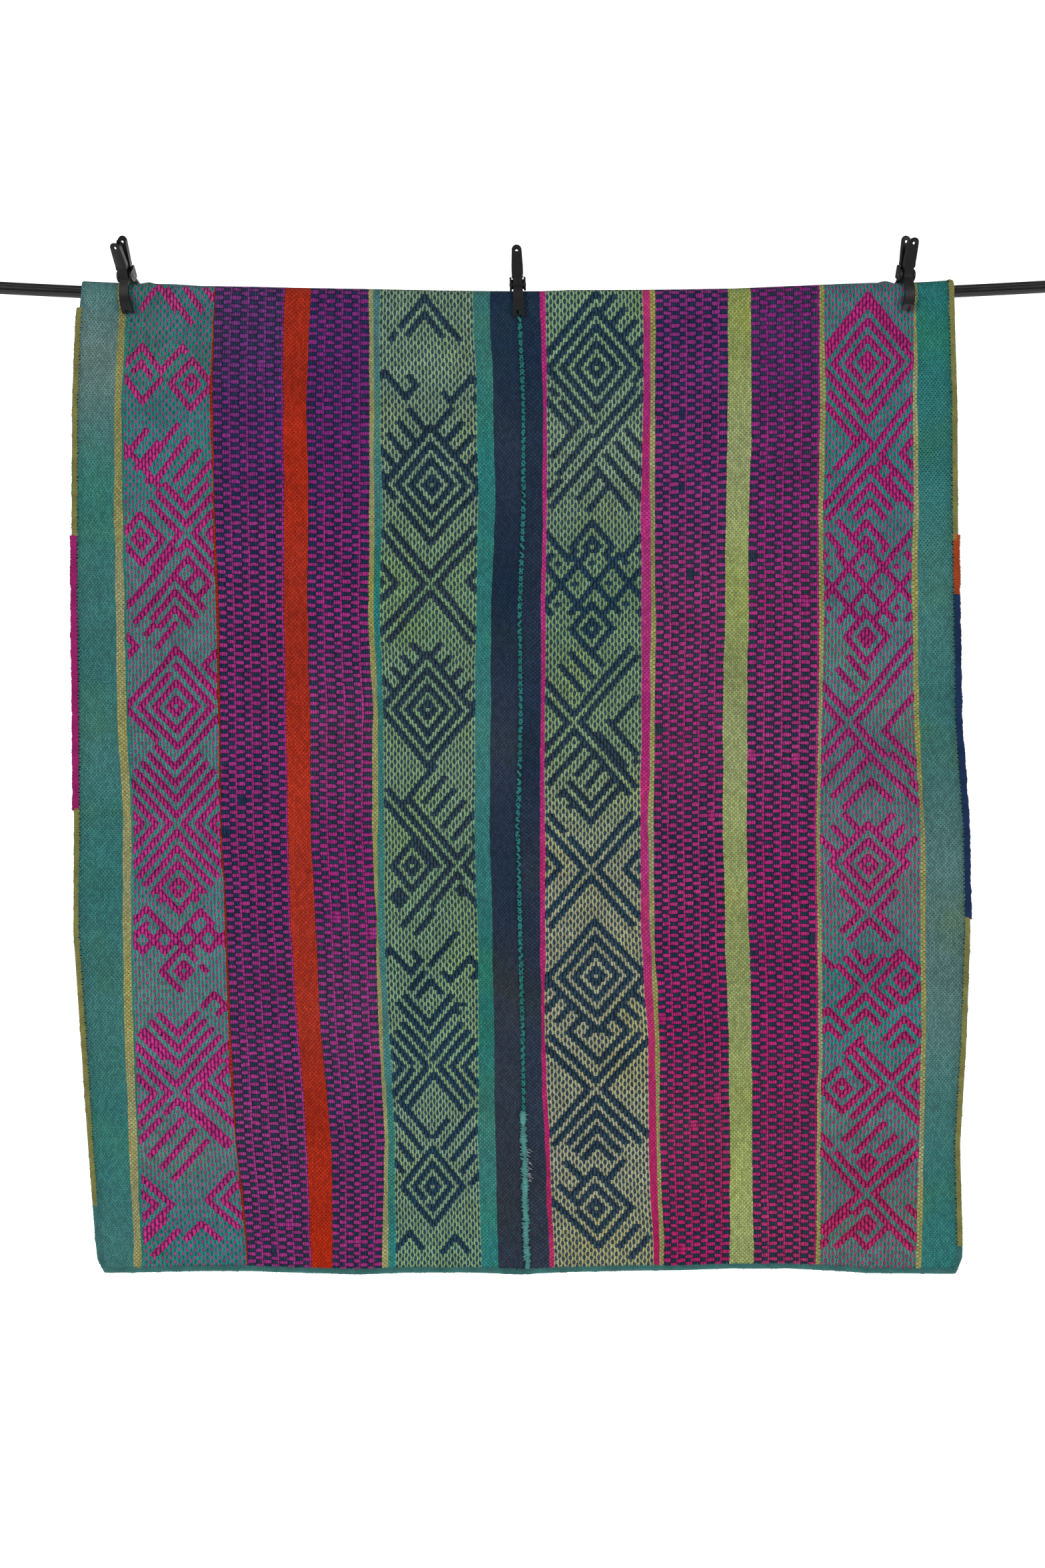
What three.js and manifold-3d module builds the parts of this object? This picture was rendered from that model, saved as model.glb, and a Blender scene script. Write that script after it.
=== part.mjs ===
// A striped and figured wool blanket, two loom panels wide, hung over a bowed rod
// and held there by three spring clamps. Millimetres, +Z up, front of the cloth
// towards -Y. The origin is on the rod's axis at the middle of its span.
import * as THREE from 'three';
import { mergeVertices } from 'three/addons/utils/BufferGeometryUtils.js';
import Module from 'manifold-3d';

const wasm = await Module();
wasm.setup();

// Driving dimensions
const rodRadius = 9.5;
const rodHalfSpan = 860;
const rodLowX = -16;
const rodBow = 3.41e-5;
const rodSides = 10;
const rodSteps = 22;

const clothThickness = 4.5;
const foldRadius = 14;
const backFlap = 300;
const pieceGap = 0.5;
const hemLevel = -1513;
const sideCordHalf = 3.4;
const thickCordHalf = 4.1;
const cordHalfDepth = 3.3;
const cordSides = 8;
const cordInset = 2 * sideCordHalf + pieceGap;

// The blanket's outline from the top down: the level, the left edge, the seam
// between the panels and the right edge.
const outline = [
  { level: 20, left: -691, seam: -7, right: 672 },
  { level: -32, left: -696, seam: -5, right: 673 },
  { level: -156, left: -701, seam: 1, right: 677 },
  { level: -322, left: -702, seam: 1, right: 678 },
  { level: -488, left: -702, seam: -5, right: 680 },
  { level: -653, left: -700, seam: -3, right: 683 },
  { level: -819, left: -699, seam: -8, right: 695 },
  { level: -985, left: -700, seam: -4, right: 698 },
  { level: -1151, left: -689, seam: 0, right: 692 },
  { level: -1316, left: -678, seam: 2, right: 682 },
  { level: -1461, left: -667, seam: 6, right: 686 },
  { level: -1520, left: -661, seam: 8, right: 685 },
];

// How far the lower edge rises above its mean level.
const hemRise = [
  { x: -660, rise: -3 }, { x: -500, rise: 1 }, { x: -418, rise: 3 }, { x: -336, rise: 1 },
  { x: -253, rise: -2 }, { x: -170, rise: 1 }, { x: -87, rise: 0 }, { x: -4, rise: -5 },
  { x: 79, rise: 0 }, { x: 161, rise: 3 }, { x: 245, rise: 4 }, { x: 327, rise: 8 },
  { x: 410, rise: 8 }, { x: 493, rise: 2 }, { x: 535, rise: -2 }, { x: 690, rise: -3 },
];

// How far the fold stands off the rod between the clamps.
const foldLift = [
  { x: -700, lift: 0.4 }, { x: -655, lift: 0.2 }, { x: -590, lift: 0.2 }, { x: -545, lift: 1.6 },
  { x: -500, lift: 0.3 }, { x: -420, lift: 1.5 }, { x: -250, lift: 2 }, { x: -120, lift: 0.8 },
  { x: -40, lift: 0 }, { x: 30, lift: 0 }, { x: 75, lift: 1.6 }, { x: 240, lift: 0.6 },
  { x: 330, lift: 0.2 }, { x: 410, lift: 1.6 }, { x: 500, lift: 2.6 }, { x: 545, lift: 2.4 },
  { x: 580, lift: 0.2 }, { x: 630, lift: 0.2 }, { x: 690, lift: 2 },
];

// The pinch that a tipped clamp gives the front layer, by the depth under the
// rod's axis: where the cloth's middle then lies in front of the axis.
const pinchDepth = [
  { depth: 0, front: 14 }, { depth: 7, front: 12.15 }, { depth: 12, front: 7.6 },
  { depth: 18, front: 2.2 }, { depth: 28, front: -1.2 }, { depth: 40, front: 0.4 },
  { depth: 70, front: 6.5 }, { depth: 110, front: 11.8 }, { depth: 150, front: 14 },
];
const pinchReach = 34;

// Each clamp: where it stands on the rod, its turn about the vertical, its lean
// along the rod, how far it is tipped forward round the rod, how high its pivot is over the rod's axis, how
// far its jaws are opened past their rest, how strongly it pinches the front
// layer, and where the back layer puckers.
const clamps = [
  {
    name: 'left', x: -612, turn: -15, lean: 0, tip: 32, height: 29, open: 6,
    pinch: 1, pucker: 27, puckerRise: 6,
  },
  {
    name: 'centre', x: -6.5, turn: 0, lean: -2, tip: 0, height: 26.7, open: 3.5,
    pinch: 0, pucker: -29, puckerRise: 1.5,
  },
  {
    name: 'right', x: 595, turn: 14, lean: 0, tip: 18, height: 28.4, open: 6,
    pinch: 0.68, pucker: -28, puckerRise: 7,
  },
];
const puckerWidth = 12;
const puckerAngle = 118;
const puckerSpread = 28;

// Lines across each panel: even ones and, round each clamp, close ones.
const evenLines = 11;
const clampLines = [-40, -26, -12, 0, 12, 26, 40];
const nearLine = 13;

// Lines along the cloth: depths under the rod's axis in front and behind.
const frontDepths = [0, 7, 12, 18, 28, 40, 70, 110, 150];
const longRows = 17;
const foldRows = 8;
const backDepths = [8, 16, 30, 60, 110, 170, 235];

// Overcast stretches of the side edges, by level.
const bindings = [
  { name: 'left_edge_olive', side: -1, from: -14, to: -366, half: sideCordHalf, colour: 0xa3a25c },
  { name: 'left_edge_magenta', side: -1, from: -368, to: -790, half: thickCordHalf, colour: 0xc23c85 },
  { name: 'left_edge_tan', side: -1, from: -792, to: -1408, half: sideCordHalf, colour: 0x9c9b62 },
  { name: 'right_edge_orange', side: 1, from: -367, to: -457, half: sideCordHalf, colour: 0xb0532c },
  { name: 'right_edge_navy', side: 1, from: -459, to: -960, half: thickCordHalf, colour: 0x24395a },
  { name: 'right_edge_tan', side: 1, from: -962, to: -1470, half: sideCordHalf, colour: 0xa79a63 },
];
const cornerLevels = { left: -1410, right: -1472 };
const topBindingEnd = -365;
const endSpacing = 9;
const cornerCut = 0.8;

const radians = THREE.MathUtils.degToRad;
const mix = THREE.MathUtils.lerp;

// Reads a short table: the value of one column at a place in another, by
// straight lines between the rows, held level past the first and last row.
function readTable(table, key, column, at) {
  const descending = table[0][key] > table[table.length - 1][key];
  const rows = descending ? [...table].reverse() : table;
  if (at <= rows[0][key]) return rows[0][column];
  for (let i = 1; i < rows.length; i += 1) {
    if (at > rows[i][key]) continue;
    const share = (at - rows[i - 1][key]) / (rows[i][key] - rows[i - 1][key]);
    return mix(rows[i - 1][column], rows[i][column], share);
  }
  return rows[rows.length - 1][column];
}

function bell(distance, width) {
  return Math.exp(-((distance / width) ** 2));
}

function rodHeight(x) {
  return rodBow * (x - rodLowX) ** 2;
}

function hemHeight(x) {
  return hemLevel + readTable(hemRise, 'x', 'rise', x);
}

function outlineX(column, level) {
  return readTable(outline, 'level', column, level);
}

// How far the hanging cloth waves out of its plane, more towards its lower edge.
function hangingWave(x, level) {
  const share = THREE.MathUtils.clamp(-(level + 90) / -hemLevel, 0, 1);
  const broad = 7 * Math.sin((x + 130) / 98);
  const narrow = 2.5 * Math.sin((x - 40) / 41 + level / 400);
  const curl = 8 * share * bell(x - outlineX('left', level), 60);
  return share * (broad + narrow) + curl;
}

// Where the front layer lies once the clamps have pinched it.
function pinchAt(x, depth, plain) {
  if (depth > pinchDepth[pinchDepth.length - 1].depth) return plain;
  let front = plain;
  for (const clamp of clamps) {
    const weight = clamp.pinch * Math.exp(-(((x - clamp.x) / pinchReach) ** 4));
    front = mix(front, -readTable(pinchDepth, 'depth', 'front', depth), weight);
  }
  return front;
}

function puckerAt(x, angle) {
  let rise = 0;
  for (const clamp of clamps) {
    const across = bell(x - clamp.x - clamp.pucker, puckerWidth);
    rise += clamp.puckerRise * across * bell(angle - radians(puckerAngle), radians(puckerSpread));
  }
  return rise;
}

// The middle of the cloth's thickness. Travel is nought at the fold's front,
// minus the depth in front of the rod, and grows over the fold and down behind.
function clothPoint(x, travel) {
  const top = rodHeight(x);
  if (travel <= 0) {
    const level = top + travel;
    const plain = -foldRadius + hangingWave(x, level);
    return new THREE.Vector3(x, pinchAt(x, -travel, plain), level);
  }
  const foldLength = Math.PI * foldRadius;
  if (travel < foldLength) {
    const angle = travel / foldRadius;
    const lift = readTable(foldLift, 'x', 'lift', x) * Math.sin(angle) ** 2;
    const radius = foldRadius + lift + puckerAt(x, angle);
    return new THREE.Vector3(x, -radius * Math.cos(angle), top + radius * Math.sin(angle));
  }
  const depth = travel - foldLength;
  const wave = (depth / backFlap) * 4 * Math.sin((x - 90) / 120);
  return new THREE.Vector3(x, foldRadius + wave, top - depth);
}

// The outward side of the cloth at a point, from two short steps over it.
function clothNormal(x, travel) {
  const step = 0.5;
  const across = clothPoint(x + step, travel).sub(clothPoint(x - step, travel));
  const along = clothPoint(x, travel + step).sub(clothPoint(x, travel - step));
  return across.cross(along).normalize();
}

// Puts every point of a closed primitive where the given function says.
function reshape(geometry, place) {
  const position = geometry.getAttribute('position');
  const point = new THREE.Vector3();
  for (let i = 0; i < position.count; i += 1) {
    point.fromBufferAttribute(position, i);
    const moved = place(point);
    position.setXYZ(i, moved.x, moved.y, moved.z);
  }
  geometry.deleteAttribute('normal');
  geometry.deleteAttribute('uv');
  const merged = mergeVertices(geometry, 1e-4);
  merged.computeVertexNormals();
  return merged;
}

function solidOf(geometry) {
  const bare = geometry.clone();
  bare.deleteAttribute('normal');
  bare.deleteAttribute('uv');
  const merged = mergeVertices(bare, 1e-4);
  const vertProperties = new Float32Array(merged.getAttribute('position').array);
  const triVerts = new Uint32Array(merged.index.array);
  return new wasm.Manifold(new wasm.Mesh({ numProp: 3, vertProperties, triVerts }));
}

function geometryOf(solid) {
  const mesh = solid.getMesh();
  const geometry = new THREE.BufferGeometry();
  geometry.setAttribute('position', new THREE.BufferAttribute(mesh.vertProperties, 3));
  geometry.setIndex(new THREE.BufferAttribute(mesh.triVerts, 1));
  geometry.computeVertexNormals();
  return geometry;
}

function meshOf(name, geometry, colour, roughness = 0.9, metalness = 0) {
  const material = new THREE.MeshStandardMaterial({ color: colour, roughness, metalness });
  const mesh = new THREE.Mesh(geometry, material);
  mesh.name = name;
  return mesh;
}

class BowedLine extends THREE.Curve {
  getPoint(share, target = new THREE.Vector3()) {
    const x = mix(-rodHalfSpan, rodHalfSpan, share);
    return target.set(x, 0, rodHeight(x));
  }
}

function makeRod() {
  const section = new THREE.Shape();
  section.absarc(0, 0, rodRadius, 0, 2 * Math.PI);
  const options = { steps: rodSteps, extrudePath: new BowedLine(), curveSegments: rodSides };
  return meshOf('rod', new THREE.ExtrudeGeometry(section, options), 0x17181a, 0.3);
}

// Shares of the way across a panel, from its left edge to its right one.
function panelLines(leftX, rightX) {
  const close = [];
  for (const clamp of clamps) {
    for (const offset of clampLines) {
      const share = (clamp.x + offset - leftX) / (rightX - leftX);
      if (share > 0.012 && share < 0.988) close.push(share);
    }
  }
  const lines = [...close, 0, 1];
  for (let i = 1; i < evenLines; i += 1) {
    const share = i / evenLines;
    const spacing = Math.min(...close.map((other) => Math.abs(other - share)));
    if (spacing * (rightX - leftX) > nearLine) lines.push(share);
  }
  return lines.sort((a, b) => a - b);
}

// Travels of the lines along the cloth at one place across it, hem first.
function panelTravels(x) {
  const drop = rodHeight(x) - hemHeight(x) - cordInset;
  const lastDepth = frontDepths[frontDepths.length - 1];
  const travels = [];
  for (let i = longRows; i > 0; i -= 1) travels.push(-mix(lastDepth, drop, i / longRows));
  for (const depth of [...frontDepths].reverse()) travels.push(-depth);
  for (let i = 1; i <= foldRows; i += 1) travels.push((Math.PI * foldRadius * i) / foldRows);
  for (const depth of [...backDepths, backFlap - cordInset]) travels.push(Math.PI * foldRadius + depth);
  return travels;
}

// The left and right edges of a panel at a level, inside the cord on its edge.
function panelEdges(side, level) {
  const seam = outlineX('seam', level) + (side * pieceGap) / 2;
  const edge = outlineX(side < 0 ? 'left' : 'right', level) - side * cordInset;
  return side < 0 ? [edge, seam] : [seam, edge];
}

// Where a line across meets a line along: its x and its travel. The edges lean,
// so the x is found again from the level that the first guess gives.
function panelPlace(side, share, row) {
  let x = mix(...panelEdges(side, 0), share);
  for (let round = 0; round < 3; round += 1) {
    const travel = Math.min(panelTravels(x)[row], 0);
    x = mix(...panelEdges(side, rodHeight(x) + travel), share);
  }
  return { x, travel: panelTravels(x)[row] };
}

function makePanel(name, side, colour) {
  const [topLeft, topRight] = panelEdges(side, 0);
  const lines = panelLines(topLeft, topRight);
  const rows = panelTravels(0).length - 1;
  const columns = lines.length - 1;
  const box = new THREE.BoxGeometry(1, 1, 1, columns, rows, 1);
  const geometry = reshape(box, (point) => {
    const share = lines[Math.round((point.x + 0.5) * columns)];
    const row = Math.round((point.y + 0.5) * rows);
    const { x, travel } = panelPlace(side, share, row);
    return clothPoint(x, travel).addScaledVector(clothNormal(x, travel), point.z * clothThickness);
  });
  return meshOf(name, geometry, colour);
}

// A closed cord laid along an edge. Each station has the edge's point, the
// direction out of the cloth in its plane, and the cloth's own normal.
function makeCord(name, stations, half, colour) {
  const steps = stations.length - 1;
  const drum = new THREE.CylinderGeometry(1, 1, 1, cordSides, steps);
  const geometry = reshape(drum, (point) => {
    const station = stations[Math.round((0.5 - point.y) * steps)];
    const centre = station.point.clone().addScaledVector(station.out, half);
    centre.addScaledVector(station.out, half * point.x);
    return centre.addScaledVector(station.normal, cordHalfDepth * point.z);
  });
  return meshOf(name, geometry, colour);
}

function sideStation(side, travel) {
  const column = side < 0 ? 'left' : 'right';
  let x = outlineX(column, 0);
  for (let round = 0; round < 3; round += 1) {
    x = outlineX(column, rodHeight(x) + Math.min(travel, 0)) - side * 2 * sideCordHalf;
  }
  const out = new THREE.Vector3(side, 0, 0);
  return { point: clothPoint(x, travel), out, normal: clothNormal(x, travel).multiplyScalar(side) };
}

// Stations down a side edge: its two ends and the panel's own lines between.
function sideStations(side, from, to) {
  const edge = side < 0 ? 0 : 1;
  const top = rodHeight(outlineX(side < 0 ? 'left' : 'right', 0));
  const rows = panelTravels(0).map((travel, row) => panelPlace(side, edge, row).travel);
  const between = rows.filter((travel) => travel < from - top - endSpacing && travel > to - top + endSpacing);
  const travels = [from - top, ...between.sort((a, b) => b - a), to - top];
  return travels.map((travel) => sideStation(side, travel));
}

function sideCord({ name, side, from, to, half, colour }) {
  return makeCord(name, sideStations(side, from, to), half, colour);
}

// The olive yarn of the right edge goes over the fold and down the back layer.
function topBinding() {
  const foldLength = Math.PI * foldRadius;
  const stations = [...backDepths].reverse().map((depth) => sideStation(1, foldLength + depth));
  for (let i = foldRows; i > 0; i -= 1) stations.push(sideStation(1, (foldLength * i) / foldRows));
  const top = rodHeight(outlineX('right', 0));
  stations.push(...sideStations(1, top, topBindingEnd));
  return makeCord('right_edge_olive', stations, sideCordHalf, 0xa3a25c);
}

function hemStation(x, travel, out) {
  return { point: clothPoint(x, travel), out, normal: clothNormal(x, travel).multiplyScalar(-1) };
}

// Stations along a panel's end, on the panel's own lines, from its left edge.
function endStations(side, row, drop, out) {
  const lines = panelLines(...panelEdges(side, 0));
  return lines.map((share) => {
    const { x, travel } = panelPlace(side, share, row);
    return hemStation(x, travel + drop, out);
  });
}

// The teal yarn runs from one side edge round the corner, along the whole lower
// edge and up the other side, with its corners cut across.
function hemCord() {
  const down = new THREE.Vector3(0, 0, -1);
  const hem = [...endStations(-1, 0, -pieceGap, down), ...endStations(1, 0, -pieceGap, down)];
  const corner = (station, side) => {
    const x = station.point.x + side * pieceGap;
    const travel = station.point.z - rodHeight(x);
    return hemStation(x, travel, new THREE.Vector3(side * cornerCut, 0, -cornerCut));
  };
  const first = corner(hem[0], -1);
  const last = corner(hem[hem.length - 1], 1);
  const leftSide = sideStations(-1, cornerLevels.left, hemLevel).slice(0, -1);
  const rightSide = sideStations(1, cornerLevels.right, hemLevel).slice(0, -1).reverse();
  for (const station of rightSide) station.normal.multiplyScalar(-1);
  const stations = [...leftSide, first, ...hem.slice(1, -1), last, ...rightSide];
  return makeCord('hem_cord', stations, sideCordHalf, 0x2f7d72);
}

function backHemCord() {
  const lastRow = panelTravels(0).length - 1;
  const down = new THREE.Vector3(0, 0, -1);
  const stations = [...endStations(-1, lastRow, pieceGap, down), ...endStations(1, lastRow, pieceGap, down)];
  return makeCord('back_hem_cord', stations.reverse(), sideCordHalf, 0x2f7d72);
}

// Clamp, drawn in its own side view: y back, z up, the pivot at nought.
const clampColour = 0x1f1f22;
const handleLength = 56.5;
const handleTopWidth = 15.6;
const handleWidth = 18;
const neckWidth = 14.8;
const jawTopWidth = 14.4;
const jawTipWidth = 19.4;
const jawLength = 54.5;
const ridgeHeight = 13.5;
const earRadius = 9.6;
const earThickness = 3.2;
const earInner = 9.4;
const innerEarInner = 4.4;
const pinRadius = 2.4;
const pinGap = 0.42;
const pinEnd = 0.5;
const springRadius = 5.2;
const springWire = 0.9;
const notchWidth = 6.8;
const roundSides = 14;

// The lever's band from handle tip to jaw tip, outer line down and inner line up.
const leverBand = [
  [-24, handleLength], [-19, 38], [-13.8, 21], [-13.6, ridgeHeight], [-11.4, 8], [-11.2, -3],
  [-16.8, -11], [-22.6, -22], [-23.8, -33], [-22.2, -44], [-18.4, -jawLength],
  [-14.9, -jawLength + 1], [-18.2, -44], [-19.4, -34], [-18.9, -25], [-14.8, -15.6], [-9.4, -8.4],
  [-8.4, 6], [-10.4, 19], [-15.9, 38], [-20.8, handleLength - 1.4],
];
// The handle's side walls, which with the band make a channel open to the inside.
const leverWalls = [
  [-22, handleLength], [-17.1, 38], [-11.8, 20], [-9.6, 8], [-4.4, 8.6], [-5.4, 20],
  [-10.1, 38], [-15.2, handleLength - 3],
];
const wallThickness = 2.1;

function extrudeSide(points, width) {
  const shape = new THREE.Shape(points.map(([y, z]) => new THREE.Vector2(y, z)));
  const geometry = new THREE.ExtrudeGeometry(shape, { depth: width, bevelEnabled: false });
  geometry.translate(0, 0, -width / 2);
  geometry.rotateX(Math.PI / 2);
  geometry.rotateZ(Math.PI / 2);
  return solidOf(geometry);
}

// The lever's outline from the front, which trims the side view to its widths.
function frontTrim() {
  const shape = new THREE.Shape();
  const half = handleWidth / 2;
  const tip = handleTopWidth / 2;
  shape.moveTo(-jawTipWidth / 2, -jawLength - 2);
  shape.lineTo(jawTipWidth / 2, -jawLength - 2);
  shape.lineTo(jawTopWidth / 2, -9);
  shape.lineTo(neckWidth / 2, -6);
  shape.lineTo(neckWidth / 2, ridgeHeight - 3);
  shape.lineTo(half, ridgeHeight);
  shape.lineTo(half, ridgeHeight + 12);
  shape.lineTo(tip, handleLength - tip);
  shape.absarc(0, handleLength - tip, tip, 0, Math.PI);
  shape.lineTo(-half, ridgeHeight + 12);
  shape.lineTo(-half, ridgeHeight);
  shape.lineTo(-neckWidth / 2, ridgeHeight - 3);
  shape.lineTo(-neckWidth / 2, -6);
  shape.lineTo(-jawTopWidth / 2, -9);
  const geometry = new THREE.ExtrudeGeometry(shape, { depth: 80, bevelEnabled: false, curveSegments: 8 });
  geometry.rotateX(Math.PI / 2);
  geometry.translate(0, 40, 0);
  return solidOf(geometry);
}

function disc(radius, centreX, thickness, sides = roundSides) {
  const geometry = new THREE.CylinderGeometry(radius, radius, thickness, sides);
  geometry.rotateZ(Math.PI / 2);
  geometry.translate(centreX, 0, 0);
  return solidOf(geometry);
}

function block(width, depth, height, x, y, z) {
  const geometry = new THREE.BoxGeometry(width, depth, height);
  geometry.translate(x, y, z);
  return solidOf(geometry);
}

function handleHole() {
  const geometry = new THREE.CylinderGeometry(2.2, 2.2, 80, 12);
  geometry.translate(0, 0, handleLength - 8.6);
  return solidOf(geometry);
}

// The front lever has its ears inside; the back one, turned about, has them
// outside, each with a cheek that joins it to the band.
function makeLever(outer) {
  const trim = frontTrim();
  let lever = extrudeSide(leverBand, jawTipWidth + 4).intersect(trim);
  for (const side of [-1, 1]) {
    const wallX = (side * (handleWidth - wallThickness)) / 2;
    lever = lever.add(extrudeSide(leverWalls, wallThickness).translate([wallX, 0, 0]).intersect(trim));
  }
  lever = lever.subtract(block(notchWidth, 12, 10, 0, -19, -jawLength + 3));
  lever = lever.add(block(jawTipWidth - 4, 1.8, 2.6, 0, -15.8, -jawLength + 2.6));
  lever = lever.subtract(handleHole());
  for (const side of [-1, 1]) {
    const inner = outer ? earInner : innerEarInner;
    const thickness = outer ? earThickness : neckWidth / 2 - innerEarInner;
    const centre = side * (inner + thickness / 2);
    lever = lever.add(disc(outer ? earRadius : 7, centre, thickness));
    const cheek = [[-11.6, 12.5], [-8.4, 13.4], [0, 6.8], [0, -6], [-9.6, -7.6], [-11.4, -4]];
    lever = lever.add(extrudeSide(cheek, thickness).translate([centre, 0, 0]));
    if (outer) {
      const bridge = block(inner + thickness - neckWidth / 2 + 2, 2.6, 15, 0, -10, 2.2);
      lever = lever.add(bridge.translate([side * (inner + thickness + neckWidth / 2 - 2) / 2, 0, 0]));
    }
  }
  return lever.subtract(disc(pinRadius + pinGap, 0, 40, 12));
}

function makePin() {
  return disc(pinRadius, 0, 2 * (earInner + earThickness + pinEnd), 12);
}

class SpringCoil extends THREE.Curve {
  getPoint(share, target = new THREE.Vector3()) {
    const turns = 3;
    const angle = 2 * Math.PI * turns * share;
    const across = (share - 0.5) * (turns * 2 * springWire + 0.3);
    return target.set(across, springRadius * Math.cos(angle), springRadius * Math.sin(angle));
  }
}

function makeSpring() {
  const section = new THREE.Shape();
  section.absarc(0, 0, springWire, 0, 2 * Math.PI);
  return new THREE.ExtrudeGeometry(section, { steps: 27, extrudePath: new SpringCoil(), curveSegments: 3 });
}

function makeClamps() {
  const group = new THREE.Group();
  const frontLever = geometryOf(makeLever(false));
  const backLever = geometryOf(makeLever(true));
  const pin = geometryOf(makePin());
  const spring = makeSpring();
  for (const clamp of clamps) {
    const stand = new THREE.Group();
    stand.position.set(clamp.x, 0, rodHeight(clamp.x));
    stand.rotation.set(radians(clamp.tip), radians(clamp.lean), radians(clamp.turn), 'ZYX');
    const pivot = new THREE.Group();
    pivot.position.z = clamp.height;
    stand.add(pivot);
    const front = meshOf(`clamp_${clamp.name}_front`, frontLever, clampColour, 0.45);
    front.rotation.x = -radians(clamp.open);
    const back = meshOf(`clamp_${clamp.name}_back`, backLever, clampColour, 0.45);
    back.rotation.set(radians(clamp.open), 0, Math.PI, 'XYZ');
    pivot.add(front, back);
    pivot.add(meshOf(`clamp_${clamp.name}_pin`, pin, 0x2b2b2e, 0.4));
    pivot.add(meshOf(`clamp_${clamp.name}_spring`, spring, 0x8a8d90, 0.35, 1));
    group.add(stand);
  }
  return group;
}

const hanging = new THREE.Group();
hanging.add(makeRod());
hanging.add(makePanel('left_panel', -1, 0x7c4c63));
hanging.add(makePanel('right_panel', 1, 0x6c5c62));
for (const binding of bindings) hanging.add(sideCord(binding));
hanging.add(topBinding());
hanging.add(hemCord());
hanging.add(backHemCord());
hanging.add(makeClamps());

export default hanging;
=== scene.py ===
import math

import bmesh
import bpy
import numpy as np
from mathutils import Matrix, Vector


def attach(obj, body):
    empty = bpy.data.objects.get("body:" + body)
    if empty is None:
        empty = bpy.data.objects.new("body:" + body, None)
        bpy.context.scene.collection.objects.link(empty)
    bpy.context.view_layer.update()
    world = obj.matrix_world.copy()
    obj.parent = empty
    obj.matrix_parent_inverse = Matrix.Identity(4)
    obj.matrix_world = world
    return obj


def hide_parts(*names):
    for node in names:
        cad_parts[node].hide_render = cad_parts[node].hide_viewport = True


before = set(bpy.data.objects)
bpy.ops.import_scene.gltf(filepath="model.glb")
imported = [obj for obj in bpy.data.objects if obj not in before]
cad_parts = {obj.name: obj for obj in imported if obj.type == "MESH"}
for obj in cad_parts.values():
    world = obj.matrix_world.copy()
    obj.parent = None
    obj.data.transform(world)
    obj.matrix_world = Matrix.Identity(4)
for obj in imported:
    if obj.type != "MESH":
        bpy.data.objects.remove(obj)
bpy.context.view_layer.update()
mm = 0.001
rng = np.random.default_rng(41)


def linear(rgb):
    # from 0-255 as seen on a screen to the shader's own light values
    part = np.asarray(rgb, float) / 255
    return np.where(part <= 0.04045, part / 12.92, ((part + 0.055) / 1.055) ** 2.4)


# shader helpers

def maths(operation, *values, clamp=False):
    tree = next(value.socket.id_data for value in values if isinstance(value, Wire))
    node = tree.nodes.new("ShaderNodeMath")
    node.operation, node.use_clamp = operation, clamp
    for target, value in zip(node.inputs, values):
        feed(tree, target, value)
    return Wire(node.outputs[0])


def operator(operation):
    return lambda *values: maths(operation, *values)


class Wire:
    # one socket; arithmetic on it adds Math nodes
    __add__ = __radd__ = operator("ADD")
    __mul__ = __rmul__ = operator("MULTIPLY")
    __sub__, __truediv__, __pow__ = operator("SUBTRACT"), operator("DIVIDE"), operator("POWER")
    floor, fraction = operator("FLOOR"), operator("FRACT")
    size, sine = operator("ABSOLUTE"), operator("SINE")
    atLeast, atMost, over = operator("MAXIMUM"), operator("MINIMUM"), operator("GREATER_THAN")

    def __init__(self, socket):
        self.socket = socket

    def __rsub__(self, other):
        return maths("SUBTRACT", other, self)

    def between(self, low, high):
        return maths("DIVIDE", self - low, high - low, clamp=True)


def feed(tree, target, value):
    if isinstance(value, Wire):
        tree.links.new(value.socket, target)
    else:
        target.default_value = value


class Finish:
    # a material and the one way its nodes are added
    def __init__(self, name):
        self.material = bpy.data.materials.new(name)
        self.material.use_nodes = True
        self.tree = self.material.node_tree
        self.tree.nodes.clear()
        self.place = self.node("TexCoord", out="Object")

    def node(self, kind, settings=None, sockets=None, out=0):
        node = self.tree.nodes.new("ShaderNode" + kind)
        for key, value in (settings or {}).items():
            setattr(node, key, value)
        for key, value in (sockets or {}).items():
            feed(self.tree, node.inputs[key], value)
        return Wire(node.outputs[out])

    def mixed(self, share, first, second):
        return self.node("Mix", {"data_type": "RGBA"}, {0: share, 6: first, 7: second}, out=2)

    def scaled(self, colour, factor):
        return self.node("VectorMath", {"operation": "SCALE"}, {0: colour, "Scale": factor})

    def attribute(self, name, out="Color"):
        return self.node("Attribute", {"attribute_name": name}, out=out)

    def uv(self, name):
        return self.parts(self.node("UVMap", {"uv_map": name}))

    def parts(self, vector):
        return [Wire(socket) for socket in self.node("SeparateXYZ", None, {0: vector}).socket.node.outputs]

    def noise(self, scale, detail=2.0, rough=0.5, at=None):
        sockets = {"Vector": at or self.place, "Scale": scale, "Detail": detail, "Roughness": rough}
        return self.node("TexNoise", None, sockets)

    def bump(self, height, distance, strength):
        return self.node("Bump", None, {"Strength": strength, "Distance": distance, "Height": height})

    def close(self, sockets):
        shader = self.node("BsdfPrincipled", None, sockets)
        output = self.tree.nodes.new("ShaderNodeOutputMaterial")
        self.tree.links.new(shader.socket, output.inputs["Surface"])
        return self.material


# helpers for pieces

def added(name, data):
    thing = bpy.data.objects.new(name, data)
    bpy.context.scene.collection.objects.link(thing)
    return thing


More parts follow.
